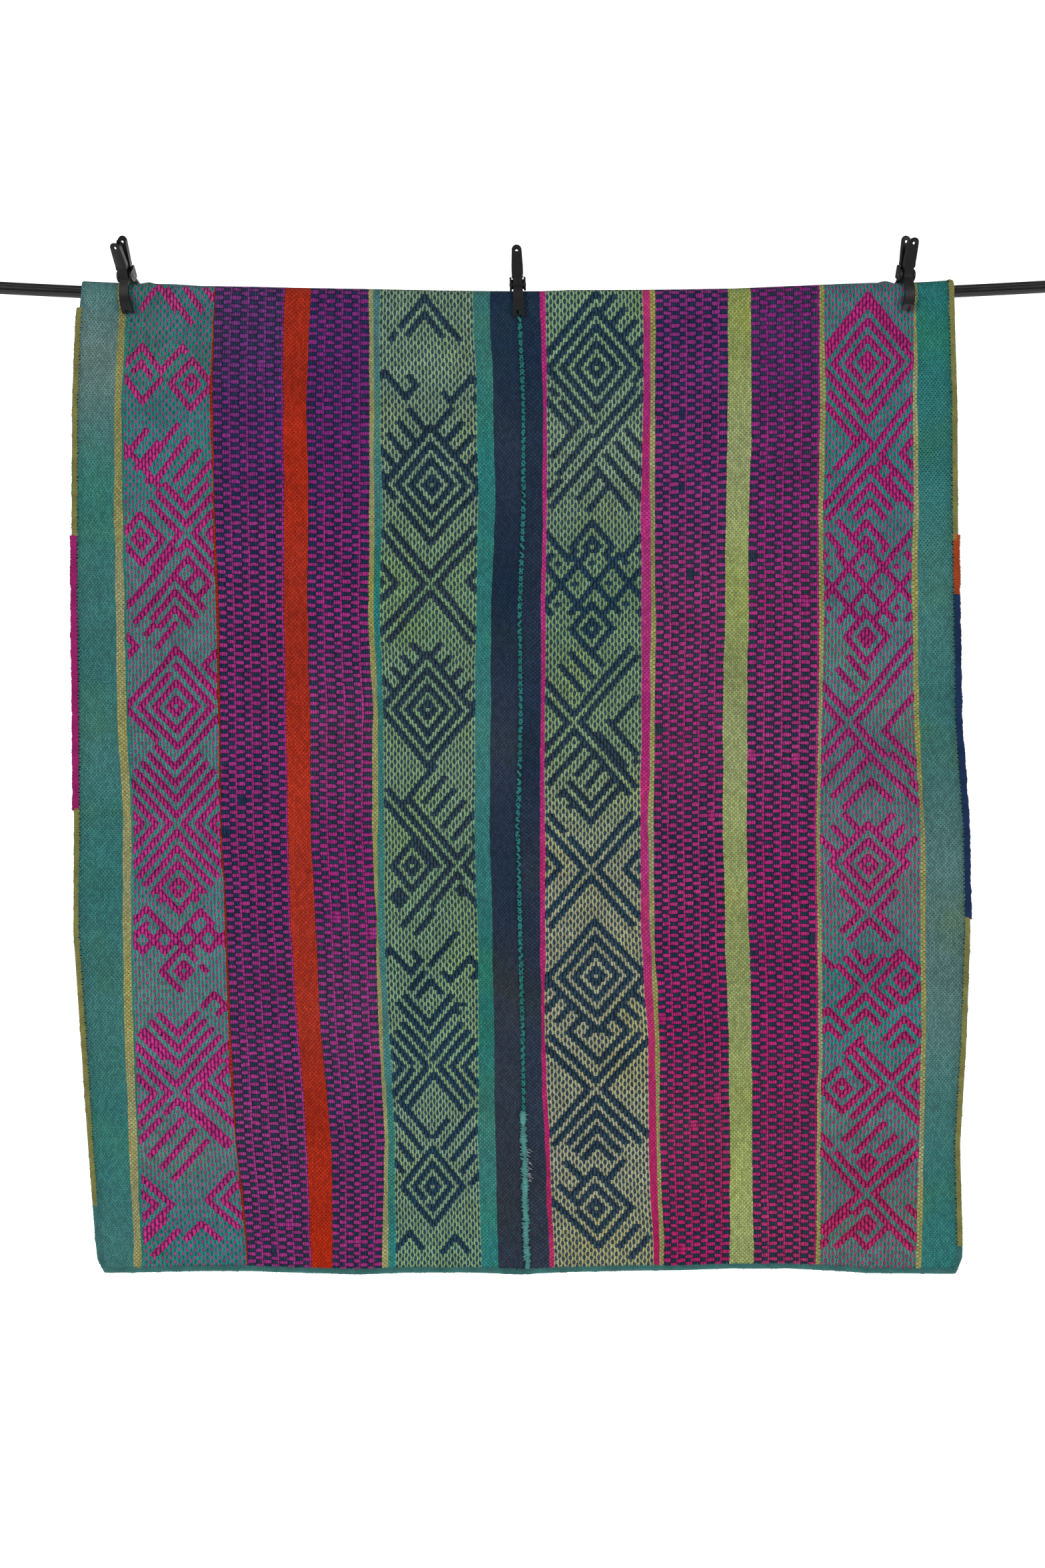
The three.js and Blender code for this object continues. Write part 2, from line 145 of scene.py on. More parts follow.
def shaped(name, points, faces, material):
    mesh = bpy.data.meshes.new(name)
    mesh.from_pydata(points, [], faces)
    mesh.materials.append(material)
    mesh.polygons.foreach_set("use_smooth", [True] * len(mesh.polygons))
    mesh.update()
    return added(name, mesh)


def painted(mesh, name, domain, colours):
    colours = np.concatenate([colours, np.ones((len(colours), 1))], axis=1).astype(np.float32)
    mesh.color_attributes.new(name, "FLOAT_COLOR", domain).data.foreach_set("color", colours.ravel())


def mapped(mesh, name, uv):
    mesh.uv_layers.new(name=name).data.foreach_set("uv", uv.astype(np.float32).ravel())


def fitted(piece, node):
    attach(piece, "root")
    if node:
        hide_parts(node)
    return piece


def unit(vectors):
    return vectors / (np.linalg.norm(vectors, axis=-1, keepdims=True) + 1e-9)


def distanceAlong(path):
    return np.append(0, np.cumsum(np.linalg.norm(np.diff(path, axis=0), axis=1)))


# where the cloth hangs, in millimetres, front towards -Y

hanging = {
    "rodRadius": 9.5, "rodHalfSpan": 860, "rodLowX": -16, "rodBow": 3.41e-5,
    "thickness": 4.5, "foldRadius": 14, "backFlap": 300, "pieceGap": 0.5, "hemLevel": -1513,
    "inset": 7.3, "edgeLine": 6.8, "pinchReach": 34,
    "puckerWidth": 12, "puckerAngle": math.radians(118), "puckerSpread": math.radians(28),
}
outlineLevels = [-1520, -1461, -1316, -1151, -985, -819, -653, -488, -322, -156, -32, 20]
outlineAt = {
    "left": [-661, -667, -678, -689, -700, -699, -700, -702, -702, -701, -696, -691],
    "seam": [8, 6, 2, 0, -4, -8, -3, -5, 1, 1, -5, -7],
    "right": [685, 686, 682, 692, 698, 695, 683, 680, 678, 677, 673, 672],
}
hemRise = [
    [-660, -500, -418, -336, -253, -170, -87, -4, 79, 161, 245, 327, 410, 493, 535, 690],
    [-3, 1, 3, 1, -2, 1, 0, -5, 0, 3, 4, 8, 8, 2, -2, -3],
]
foldLift = [
    [-700, -655, -590, -545, -500, -420, -250, -120, -40, 30, 75, 240, 330, 410, 500, 545, 580, 630, 690],
    [0.4, 0.2, 0.2, 1.6, 0.3, 1.5, 2, 0.8, 0, 0, 1.6, 0.6, 0.2, 1.6, 2.6, 2.4, 0.2, 0.2, 2],
]
pinchDepth = [[0, 7, 12, 18, 28, 40, 70, 110, 150], [14, 12.15, 7.6, 2.2, -1.2, 0.4, 6.5, 11.8, 14]]
clampPlaces = {
    "left": {"x": -612, "pinch": 1, "pucker": 27, "puckerRise": 6},
    "centre": {"x": -6.5, "pinch": 0, "pucker": -29, "puckerRise": 1.5},
    "right": {"x": 595, "pinch": 0.68, "pucker": -28, "puckerRise": 7},
}


def bell(distance, width):
    return np.exp(-((distance / width) ** 2))


def rodHeight(x):
    return hanging["rodBow"] * (x - hanging["rodLowX"]) ** 2


def hemHeight(x):
    return hanging["hemLevel"] + np.interp(x, *hemRise)


def outlineX(side, level):
    return np.interp(level, outlineLevels, outlineAt[side])


def hangingWave(x, level):
    share = np.clip(-(level + 90) / -hanging["hemLevel"], 0, 1)
    waves = 7 * np.sin((x + 130) / 98) + 2.5 * np.sin((x - 40) / 41 + level / 400)
    curl = 8 * share * bell(x - outlineX("left", level), 60)
    return share * waves + curl


def clothPoint(x, travel):
    x, travel = np.broadcast_arrays(np.asarray(x, float), np.asarray(travel, float))
    top = rodHeight(x)
    radius = hanging["foldRadius"]
    level = top + np.minimum(travel, 0)
    front = -radius + hangingWave(x, level)
    depth = -np.minimum(travel, 0)
    for clamp in clampPlaces.values():
        weight = clamp["pinch"] * np.exp(-(((x - clamp["x"]) / hanging["pinchReach"]) ** 4))
        weight = np.where(depth > pinchDepth[0][-1], 0, weight)
        front = front + (-np.interp(depth, *pinchDepth) - front) * weight
    angle = np.clip(travel / radius, 0, math.pi)
    bulge = radius + np.interp(x, *foldLift) * np.sin(angle) ** 2
    for clamp in clampPlaces.values():
        across = bell(x - clamp["x"] - clamp["pucker"], hanging["puckerWidth"])
        around = bell(angle - hanging["puckerAngle"], hanging["puckerSpread"])
        bulge = bulge + clamp["puckerRise"] * across * around
    behind = travel - math.pi * radius
    y = np.where(travel <= 0, front, -bulge * np.cos(angle))
    z = np.where(travel <= 0, level, top + bulge * np.sin(angle))
    wave = behind / hanging["backFlap"] * 4 * np.sin((x - 90) / 120)
    y = np.where(behind > 0, radius + wave, y)
    z = np.where(behind > 0, top - behind, z)
    return np.stack([x, y, z], axis=-1)


def clothNormal(x, travel):
    step = 0.5
    across = clothPoint(x + step, travel) - clothPoint(x - step, travel)
    along = clothPoint(x, travel + step) - clothPoint(x, travel - step)
    normal = np.cross(across, along)
    return normal / np.linalg.norm(normal, axis=-1, keepdims=True)


# the two loom panels

dyes = {
    "teal": (43, 119, 116), "olive": (143, 142, 84), "lime": (143, 156, 84), "magenta": (174, 42, 120),
    "navy": (30, 48, 72), "rust": (140, 38, 22), "orange": (166, 40, 16), "green": (114, 148, 108),
    # the darkest of these is no yarn but the painted shade inside needle holes
    "grey": (128, 132, 128), "plum": (104, 32, 112), "holeShade": (20, 22, 40), "sand": (150, 151, 112),
    "rose": (172, 24, 84), "indigo": (37, 42, 86), "slate": (36, 64, 82), "coral": (186, 80, 40),
    "marine": (34, 58, 98),
}
dyes = {name: linear(rgb) for name, rgb in dyes.items()}
plain, figured, checked = 0, 1, 2

# stripes from the left: ground yarn, figure yarn, weave, cells across, yarn ends in each cell;
# lines: where the lines between the stripes are at each level
lineLevels = [-1482, -1316, -1151, -985, -819, -653, -488, -322, -156, 5]  # heights of the rows of "lines"
leftPanel = {
    "name": "leftCloth", "side": -1, "node": "left_panel", "slot": "left_cloth", "flat": (0.69, 1.86),
    "dots": 0.6,
    "stripes": [
        ("teal", "teal", plain, 3, 8), ("olive", "olive", plain, 1, 4), ("teal", "teal", plain, 1, 2),
        ("teal", "magenta", figured, 25, 1), ("rust", "rust", plain, 1, 1),
        ("indigo", "magenta", checked, 8, 4), ("orange", "orange", plain, 3, 4),
        ("indigo", "magenta", checked, 7, 4), ("olive", "olive", plain, 1, 3),
        ("teal", "teal", plain, 1, 3), ("green", "slate", figured, 28, 1),
        ("teal", "teal", plain, 3, 3), ("navy", "navy", plain, 4, 4),
    ],
    "lines": [
        [-605.3, -593.7, -589.7, -429.2, -426.6, -328.1, -294.5, -218.1, -209.0, -197.4, -63.9, -37.3],
        [-613.6, -600.1, -597.0, -447.3, -443.5, -334.7, -297.0, -214.2, -207.7, -197.4, -69.1, -42.7],
        [-619.1, -606.6, -603.5, -457.1, -453.8, -347.6, -312.1, -222.8, -216.8, -206.4, -68.6, -44.6],
        [-622.9, -610.0, -606.6, -462.8, -459.5, -359.7, -321.7, -227.1, -224.0, -213.6, -70.5, -47.1],
        [-621.3, -608.4, -605.3, -470.6, -467.5, -364.4, -328.7, -233.6, -224.5, -215.0, -74.8, -51.5],
        [-630.7, -616.2, -613.4, -473.2, -470.1, -367.0, -330.2, -232.3, -224.5, -215.5, -74.3, -49.2],
        [-632.5, -619.1, -615.4, -477.1, -472.7, -370.9, -333.8, -239.5, -231.1, -221.9, -72.2, -48.9],
        [-635.6, -623.0, -619.1, -481.5, -479.0, -370.9, -333.3, -238.3, -229.7, -218.1, -69.1, -42.5],
        [-633.4, -623.0, -619.6, -485.9, -481.8, -372.5, -335.7, -237.5, -230.5, -221.9, -71.0, -45.3],
        [-629.9, -617.0, -609.2, -479.7, -477.1, -369.9, -330.0, -238.8, -231.1, -221.9, -77.4, -51.5],
    ],
}
rightPanel = {
    "name": "rightCloth", "side": 1, "node": "right_panel", "slot": "right_cloth", "flat": (0.685, 1.86),
    "dots": 0.64,
    "stripes": [
        ("navy", "navy", plain, 3, 3), ("magenta", "magenta", plain, 1, 2),
        ("green", "slate", figured, 28, 1), ("magenta", "magenta", plain, 1, 4),
        ("olive", "olive", plain, 1, 2), ("indigo", "magenta", checked, 9, 4),
        ("lime", "lime", plain, 3, 4), ("indigo", "magenta", checked, 8, 4),
        ("olive", "olive", plain, 1, 2), ("teal", "magenta", figured, 26, 1),
        ("olive", "olive", plain, 1, 2), ("teal", "teal", plain, 3, 7),
    ],
    "lines": [
        [42.3, 49.5, 202.9, 212.7, 219.7, 321.5, 358.5, 456.2, 462.4, 613.4, 621.1],
        [34.2, 41.8, 196.3, 208.0, 213.7, 321.2, 355.7, 456.7, 463.1, 617.3, 623.7],
        [29.0, 35.5, 194.6, 206.7, 213.2, 320.7, 355.4, 460.5, 467.1, 619.9, 627.7],
        [27.6, 35.5, 183.4, 197.7, 204.9, 313.7, 350.8, 458.0, 464.5, 619.4, 627.7],
        [26.4, 34.8, 183.4, 195.6, 203.4, 311.3, 348.9, 456.7, 463.1, 618.6, 625.6],
        [28.4, 35.0, 185.3, 198.9, 206.0, 311.3, 348.4, 459.8, 465.7, 609.0, 616.0],
        [29.0, 35.7, 185.3, 199.4, 207.2, 313.9, 351.0, 461.9, 469.1, 605.6, 614.7],
        [31.0, 37.3, 183.4, 198.2, 206.0, 316.5, 353.1, 459.8, 467.1, 607.7, 615.4],
        [31.9, 37.9, 188.6, 198.9, 206.7, 319.9, 356.9, 463.1, 470.9, 606.9, 613.9],
        [27.2, 36.3, 187.3, 198.9, 206.7, 320.2, 354.3, 461.1, 468.3, 610.8, 614.7],
    ],
}
# rows' pitch and unevenness in millimetres, shares of faults, strength of single floats
weft = {
    "hemPitch": 5.95, "topPitch": 6.6, "backPitch": 6.3, "foldRows": 7,
    "shakeAcross": 0.5, "shakeAlong": 0.75, "wander": 2.2, "ripple": 1.1, "rimRows": 6,
    "missed": 0.004, "slips": 0.003, "tint": 0.16, "dots": 0.78,
}


def rowShares():
    # the front's rows from the hem up, closer together towards the hem
    drop = -hanging["hemLevel"]
    places = [0.0]
    while places[-1] < 1:
        pitch = weft["hemPitch"] + (weft["topPitch"] - weft["hemPitch"]) * places[-1]
        places.append(places[-1] + pitch / drop)
    return np.array(places) / places[-1]


shares = rowShares()
frontRows = len(shares) - 1
foldTravels = np.linspace(0, math.pi * hanging["foldRadius"], weft["foldRows"] + 1)[1:]
flapEnd = hanging["backFlap"] - hanging["inset"]
backRows = round(flapEnd / weft["backPitch"])
backTravels = math.pi * hanging["foldRadius"] + np.linspace(0, flapEnd, backRows + 1)[1:]
rowCount = frontRows + len(foldTravels) + len(backTravels)


def rowAt(level):
    return int(np.interp(level, hanging["hemLevel"] * (1 - shares), np.arange(frontRows + 1)))


# figures, drawn on the slanted lattice of the yarn floats that may take either colour; each gets the
# steps along its rising and falling diagonal, and gives back where it reaches and what it draws

def diamond(rise, fall, rings, middle=""):
    ring = np.maximum(abs(rise), abs(fall))
    return ring <= rings, (ring % 2 == 1) | ((ring == 0) & (middle == "solid"))


def whiskers(rise, fall, rings, length, corner):
    # short strokes that stand on one side of a diamond
    out, along = {"upLeft": (-fall, rise), "upRight": (rise, fall),
                  "downLeft": (-rise, fall), "downRight": (fall, rise)}[corner]
    return (out > rings) & (out <= rings + length) & (abs(along) <= rings), along % 3 == 0


def cross(rise, fall, reach, sides, ends):
    # a crossing of doubled lines; sides and ends are how many nested lines fill its quarters
    near, far = np.minimum(abs(rise), abs(fall)), np.maximum(abs(rise), abs(fall))
    limit = np.where(rise * fall > 0, 2 * sides + 1, 2 * ends + 1)
    return (far <= reach) & (near <= limit + 1), (near % 2 == 1) & (near <= limit)


def chevron(rise, fall, layers, reach, point):
    first, second = {"up": (-rise, fall), "down": (rise, -fall),
                     "right": (-rise, -fall), "left": (rise, fall)}[point]
    near, far = np.minimum(first, second), np.maximum(first, second)
    return (near >= 0) & (near < 2 * layers) & (far <= reach), near % 2 == 0


def strokes(rise, fall, count, length, slant):
    # slanting strokes side by side, each further right and down, or up where they fall
    along, beside = (rise, fall) if slant == "rising" else (fall, rise)
    inside = (along >= 0) & (along <= length) & (beside >= 0) & (beside <= 3 * (count - 1))
    return inside, beside % 3 == 0


def hook(rise, fall, turn):
    rise, fall = (rise, fall) if turn > 0 else (fall, rise)
    drawn = ((rise == 0) & (abs(fall) <= 3)) | ((fall == 3) & (rise >= 0) & (rise <= 3))
    drawn |= ((rise == 3) & (fall >= 1) & (fall <= 3)) | ((fall == -3) & (rise <= 0) & (rise >= -2))
    return (abs(rise) <= 4) & (abs(fall) <= 4), drawn


def trellis(rise, fall, height, step):
    drawn = (rise % step == 0) | (fall % step == 0)
    if step > 3:
        drawn |= (rise % step == step // 2) & (fall % step == step // 2)
    return abs(rise - fall) <= height, drawn


shapes = {shape.__name__: shape for shape in (diamond, whiskers, cross, chevron, strokes, hook, trellis)}

# what each band shows, from the top down: figure, level, columns off its middle, sizes
figures = {
    ("leftCloth", 3): [
        "chevron 18 -4 1 5 up", "strokes 16 -1 3 7 falling", "chevron -81 -8 2 6 up",
        "chevron -83 4 1 8 up", "diamond -138 7 4", "chevron -166 -7 1 5 down",
        "strokes -249 -12 4 6 rising", "strokes -268 -7 7 10 rising", "strokes -235 -13 1 19 falling",
        "cross -372 5 9 2 1", "diamond -381 -8 4", "strokes -485 -13 4 14 rising",
        "chevron -432 1 3 8 up", "diamond -636 1 7", "chevron -545 -10 2 4 right",
        "chevron -581 9 2 5 left", "cross -822 0 12 2 3", "diamond -915 0 3", "chevron -956 -9 2 5 up",
        "chevron -960 6 2 5 up", "trellis -1000 -1 3 3", "diamond -1045 1 3", "hook -1103 6 -1",
        "hook -1130 1 -1", "hook -1163 -8 1", "chevron -1200 -1 3 9 down", "cross -1236 -2 13 1 0",
        "chevron -1225 5 2 5 left", "strokes -1314 -13 4 9 rising", "strokes -1258 1 2 10 falling",
        "chevron -1406 -5 2 8 right", "chevron -1401 4 2 7 left", "chevron -1439 2 1 4 up",
        "strokes -1468 -13 2 6 rising",
    ],
    ("leftCloth", 10): [
        "chevron 8 -1 1 10 up", "chevron -17 -1 1 5 up", "hook -135 -10 1", "hook -144 9 -1",
        "diamond -292 0 7", "whiskers -292 0 7 5 upLeft", "whiskers -292 0 7 5 upRight",
        "cross -439 0 13 0 0", "chevron -439 11 2 6 left", "chevron -439 -10 2 5 right",
        "diamond -641 -1 7", "whiskers -641 -1 7 3 upRight", "whiskers -641 -1 7 3 upLeft",
        "strokes -763 -13 1 26 falling", "strokes -780 -15 1 24 falling", "strokes -782 -8 6 9 rising",
        "diamond -877 -6 3", "cross -887 8 15 0 0", "diamond -935 -10 2 solid",
        "strokes -910 9 3 7 falling", "strokes -989 -11 2 8 rising", "cross -1043 -1 9 0 0",
        "hook -1030 -10 1", "hook -1039 8 -1", "chevron -1157 -2 2 9 down", "cross -1198 -1 10 2 0",
        "strokes -1279 -14 2 6 falling", "strokes -1296 7 2 5 rising", "diamond -1377 -2 6",
        "whiskers -1377 -2 6 5 upLeft", "whiskers -1377 -2 6 5 upRight", "chevron -1457 -10 1 4 up",
        "chevron -1459 5 1 4 up",
    ],
    ("rightCloth", 2): [
        "chevron 16 0 2 14 up", "diamond -104 0 7", "whiskers -104 0 7 4 upRight", "cross -226 -1 13 0 0",
        "strokes -249 -14 5 9 rising", "strokes -260 0 4 10 falling", "diamond -388 -1 3",
        "trellis -446 0 7 5", "strokes -363 -14 1 6 falling", "strokes -401 8 1 6 rising",
        "diamond -512 -1 3", "strokes -570 -10 3 8 falling", "cross -662 -6 17 0 0",
        "chevron -666 4 1 8 left", "strokes -749 -13 3 9 rising", "chevron -819 -1 2 8 down",
        "strokes -682 1 2 8 falling", "cross -887 -1 13 0 0", "chevron -887 9 2 7 left",
        "chevron -887 -10 2 7 right", "chevron -989 0 1 6 up", "diamond -1057 0 7",
        "whiskers -1057 0 7 4 downLeft", "whiskers -1057 0 7 4 downRight", "chevron -1212 0 2 9 down",
        "cross -1237 -1 13 0 0", "chevron -1262 -1 3 8 up", "chevron -1399 -2 1 8 down",
        "diamond -1422 -2 5", "strokes -1399 -15 2 5 falling", "strokes -1472 4 2 5 rising",
    ],
    ("rightCloth", 9): [
        "chevron 4 -1 2 12 up", "diamond -103 -1 7 solid", "cross -253 1 14 0 0",
        "chevron -253 9 2 6 left", "strokes -276 -12 4 9 rising", "chevron -272 0 3 8 up",
        "diamond -394 -1 3", "strokes -376 -12 2 5 falling", "strokes -403 7 2 5 rising",
        "trellis -459 -1 8 5", "diamond -527 -1 3 solid", "strokes -604 -12 3 6 falling",
        "cross -668 -6 19 0 0", "chevron -671 4 1 9 left", "strokes -761 -13 3 9 rising",
        "strokes -749 0 3 5 falling", "diamond -887 -1 5", "whiskers -887 -1 5 4 upRight",
        "whiskers -887 -1 5 4 upLeft", "cross -962 -1 6 0 0", "chevron -1084 -4 1 11 down",
        "diamond -1066 8 3", "cross -1078 -2 6 0 1", "chevron -1115 -12 2 5 up", "chevron -1124 8 2 5 up",
        "strokes -1188 -8 2 5 rising", "diamond -1226 -8 4", "cross -1226 5 9 1 0",
        "strokes -1312 -7 4 7 rising", "diamond -1345 -1 2 solid", "cross -1395 -1 13 0 0",
        "diamond -1440 -1 3 solid", "strokes -1424 7 2 7 falling", "strokes -1464 -12 2 6 rising",
    ],
}


def bandChart(panelName, stripe, columns):
    # which floats of a figured band show the figure's colour, and which ones may
    column, row = np.indices((columns, rowCount))
    free = (column + row) % 2 == 1
    filled = np.zeros_like(free)
    for entry in figures[(panelName, stripe)]:
        figure, *sizes = entry.split()
        level, offset, *sizes = [int(word) if word.strip("-").isdigit() else word for word in sizes]
        c, r = columns // 2 + offset, rowAt(level - 6)
        r += (c + r + 1) % 2  # the nearest free float
        across, up = column - c, row - r
        inside, drawn = shapes[figure]((across + up) // 2, (across - up) // 2, *sizes)
        filled = np.where(inside & free, drawn, filled)
    # a few floats are missed, and the figures end two rows into the fold
    filled &= rng.random(filled.shape) >= weft["missed"]
    filled[:, frontRows + 2:] = False
    return filled, free


def smoothNoise(count, spacing, seed):
    # a slow random line through count places, from about -1 to 1
    knots = np.random.default_rng(seed).uniform(-1, 1, count // spacing + 4)
    at = np.arange(count) / spacing
    low = np.floor(at).astype(int)
    share = at - low
    share = share * share * (3 - 2 * share)
    return knots[low] * (1 - share) + knots[low + 1] * share


def toward(colour, other, share):
    return colour * (1 - share[:, None]) + other * share[:, None]


# how far each dye has gone over to another, by height in millimetres: (left panel, right panel)
fading = {
    "lots": 0.10, "fine": 0.06, "bleach": 0.12, "bleachSpread": 0.16, "mostBleach": 0.4, "bleachGrey": 1.6,
    "edgeBands": (0, 11), "edgeKept": 0.6, "leftPatch": 0.42, "rightPatch": 0.34, "fastDyes": 0.2,
    "sand": ([-1500, -900, -700, 0], [1, 1, 0.2, 0]), "rose": ([-1400, -700], [0.8, 0]),
    "plumHeights": [-1100, -480, -330, -150], "plum": ([0.45, 0.4, 0.65, 0.9], [0.1, 0.2, 0.4, 0.65]),
    "navyHeights": [-1300, -480, -200], "navy": ([0.85, 0.7, 0.1], [1, 0.9, 0.4]),
    "greyShare": ([-1400, -950], [0.35, 0]),
}


def dyeAlong(panel, index, dye, heights):
    # the dye lot changes along each stripe, and the light has bleached some of it
    right, count = int(panel["side"] > 0), len(heights)
    key = index * 7 + 3 * right + sum(map(ord, dye))
    lots = smoothNoise(count, 26, key)
    fine = smoothNoise(count, 5, key + 91)
    colour = dyes[dye] * (1 + fading["lots"] * lots + fading["fine"] * fine)[:, None]
    grey = colour.mean(axis=1, keepdims=True)
    bleach = fading["bleach"] + fading["bleachSpread"] * smoothNoise(count, 34, key + 17)
    bleach = np.clip(bleach, 0, fading["mostBleach"])
    if dye == "teal" and index in fading["edgeBands"]:
        patch = fading["rightPatch"] * bell(heights + 1000, 330)
        if not right:
            patch = bell(heights + 110, 130) + 0.2 * bell(heights + 700, 100)
            patch = fading["leftPatch"] * patch * (index == 0)
        bleach = bleach * fading["edgeKept"] + patch
    if dye in ("magenta", "orange", "rust"):
        bleach = bleach * fading["fastDyes"]
    if dye == "green":
        colour = toward(colour, dyes["sand"] * 1.08, np.interp(heights, *fading["sand"]) * right)
    if dye == "magenta" and right:
        colour = toward(colour, dyes["rose"], np.interp(heights, *fading["rose"]))
    if dye == "magenta" and index in (5, 7):
        share = np.interp(heights, fading["plumHeights"], fading["plum"][right]) + 0.12 * lots
        colour = toward(colour * 1.12, dyes["plum"] * 1.22, share)
    if dye == "indigo":
        share = np.interp(heights, fading["navyHeights"], fading["navy"][right])
        colour = toward(colour, dyes["navy"], share)
    if dye == "navy":
        colour = toward(colour, dyes["grey"] * 0.25, np.interp(heights, *fading["greyShare"]))
    return colour * (1 - bleach[:, None]) + grey * bleach[:, None] * fading["bleachGrey"]


def openness(panel, index, dye, heights):
    # share of the floats' ends where the weave gapes, which the shader paints dark as shade
    share = np.full(len(heights), 0.012)
    if dye == "olive":
        share += 0.05 * (1 + smoothNoise(len(heights), 12, index + 5)).clip(0.4)
    if dye == "teal" and panel["side"] < 0 and index == 0:
        share += 0.06 * bell(heights + 90, 90)
    if dye == "teal" and panel["side"] > 0:
        share += 0.4 * bell(heights + 260, 150)
    return share


woolSheen = {"Sheen Weight": 0.03, "Sheen Roughness": 0.5, "Specular IOR Level": 0.06}
# noise sizes per metre, the height of the relief in metres, and the yarn's surface
woolLook = {
    "drift": 190.0, "lean": 55.0, "sway": 75.0, "warm": 8.0, "fibre": 1500.0, "patch": 14.0,
    "strayHighlight": 420.0, "relief": 0.0016, "reliefStrength": 0.9, "rough": 0.86, "warmTint": (1.28, 1.14, 0.66),
}


def clothFinish(name):
    finish = Finish(name)
    u, v, _ = finish.uv("weave")
    kind, own, thread = finish.parts(finish.attribute("cell", out="Vector"))
    corner = finish.attribute("corner", out="Fac")
    ground, figure = finish.attribute("ground"), finish.attribute("figure")
    drift = finish.noise(woolLook["drift"], 1.0) - 0.5
    sway = finish.noise(woolLook["sway"], 1.0) - 0.5
    isPlain = (1 - kind).atLeast(0)
    isFigured = 1 - (kind - 1).size()
    isChecked = (kind - 1).atLeast(0)

    # across runs from -1 to 1 over one warp end, turn from 0 to 1 over one float
    end, row = u.floor(), v.floor()
    shuffle = finish.node("TexWhiteNoise", {"noise_dimensions": "1D"}, {"W": end})
    turn = ((v * (1 + isPlain) + end + shuffle * 0.22 + drift * 0.35 - 0.15) * 0.5).fraction()
    lean = (finish.noise(woolLook["lean"], 1.0) - 0.5) * (turn * 2 - 1) * 1.3
    across = ((u - end) * 2 - 1 + drift * 0.8 + lean).size()
    fromDot = ((turn + 0.25).fraction() - 0.5).size() * 2 + drift * 0.3
    inRow = (v - row) * 2 - 1 + drift * 0.6
    rib = 1 - across ** 2
    crest = 1 - (turn * 2 - 1).size() ** 3.0

    # figured bands: dark floats join into lines or stand alone as dots
    dot = 1 - (across / thread.atLeast(0.5)) ** 2 - (fromDot * 1.18 / thread.atLeast(0.5)) ** 2
    line = corner * 0.5 + own * 0.5 - 0.45 + drift * 0.14
    soft = (dot * 1.5 + 0.42).atLeast(line * 4 + 0.4).between(0, 1)
    dark = ((soft - 0.5) * 7 + 0.5).between(0, 1)
    groove = (1 - (soft * 2 - 1).size()) ** 1.4 * 0.5
    stroke = rib * (0.3 + 0.7 * crest)
    isLine = (line * 6 + 0.5).between(0, 1)
    inLine = (corner * 1.6 + isLine).between(0, 1)
    darkHeight = stroke * isLine + dot.atLeast(0) ** 0.6 * (1 - isLine)
    between = 1 - (across / 0.5) ** 2 - ((1 - fromDot) / 0.42) ** 2
    lightHeight = 0.92 - 0.62 * between.atLeast(0) ** 0.7 - 0.3 * dot.between(-0.5, 0.2)
    figuredHeight = (darkHeight * dark + lightHeight * (1 - dark)) * (1 - 0.5 * groove)

    # plain stripes: low ribs with a pit where two floats meet
    dip = (turn * 2 - 1).size()
    pit = (1 - (across / 0.95) ** 2 - ((1 - dip) / 0.4) ** 2).atLeast(0) ** 0.6
    plainHeight = (0.6 + 0.4 * rib) * (1 - 0.2 * dip ** 3.0) * (1 - (0.5 + 0.5 * drift) * pit)

    # checks: blocks four ends wide, each other one crossed by a thin thread
    inBlock = (((u + sway * 2.2) * 0.25).fraction() * 2 - 1).size()
    high = (inRow + sway * 0.7).size()
    block = 1.12 - inBlock ** 7.0 - (high * (0.92 + 0.14 * own)) ** 4.0
    checkHeight = (0.3 + 0.7 * rib) * (0.24 + 0.76 * block.between(0, 1.05) ** 0.7)
    isThread = (end * 0.25).fraction().over(0.7) * thread
    checkMask = (own * (block * 4).between(0, 1)).atLeast(isThread * (1 - own))

    height = plainHeight * isPlain + figuredHeight * isFigured + checkHeight * isChecked
    # single floats in the ground look dimmer than the ones that join into lines
    mask = dark * (thread + 0.28 + (0.72 - thread) * inLine) * isFigured + checkMask * isChecked
    warm = finish.noise(woolLook["warm"], 2.0, 0.6).between(0.5, 0.72) * 0.5
    tinted = finish.node("VectorMath", {"operation": "MULTIPLY"}, {0: ground, 1: woolLook["warmTint"]})
    yarn = finish.mixed(mask, finish.mixed(warm, ground, tinted), figure)

    spot = finish.node("CombineXYZ", None, {0: end, 1: ((v * (1 + isPlain) + end) * 0.5).floor(), 2: own})
    lot = finish.node("TexWhiteNoise", {"noise_dimensions": "3D"}, {"Vector": spot})
    fibre = finish.noise(woolLook["fibre"], 3.0, 0.7)
    patch = finish.noise(woolLook["patch"], 3.0, 0.6)
    # painted shade: the colour darkens where the relief is low, in the grooves, pits and gaps between the
    # floats; lot, fibre and patch vary the tone at random
    hollowShade = 0.08 + 1.08 * height
    shadeAndTone = hollowShade * (0.80 + 0.40 * lot) * (0.80 + 0.40 * fibre) * (0.78 + 0.48 * patch)
    # painted shade: where the plain weave gapes, the float ends are painted dark as the shade inside the
    # gap
    gapShade = pit * isPlain * (lot - 1 + thread).over(0)
    colour = finish.scaled(yarn, shadeAndTone * (1 - 0.85 * gapShade))
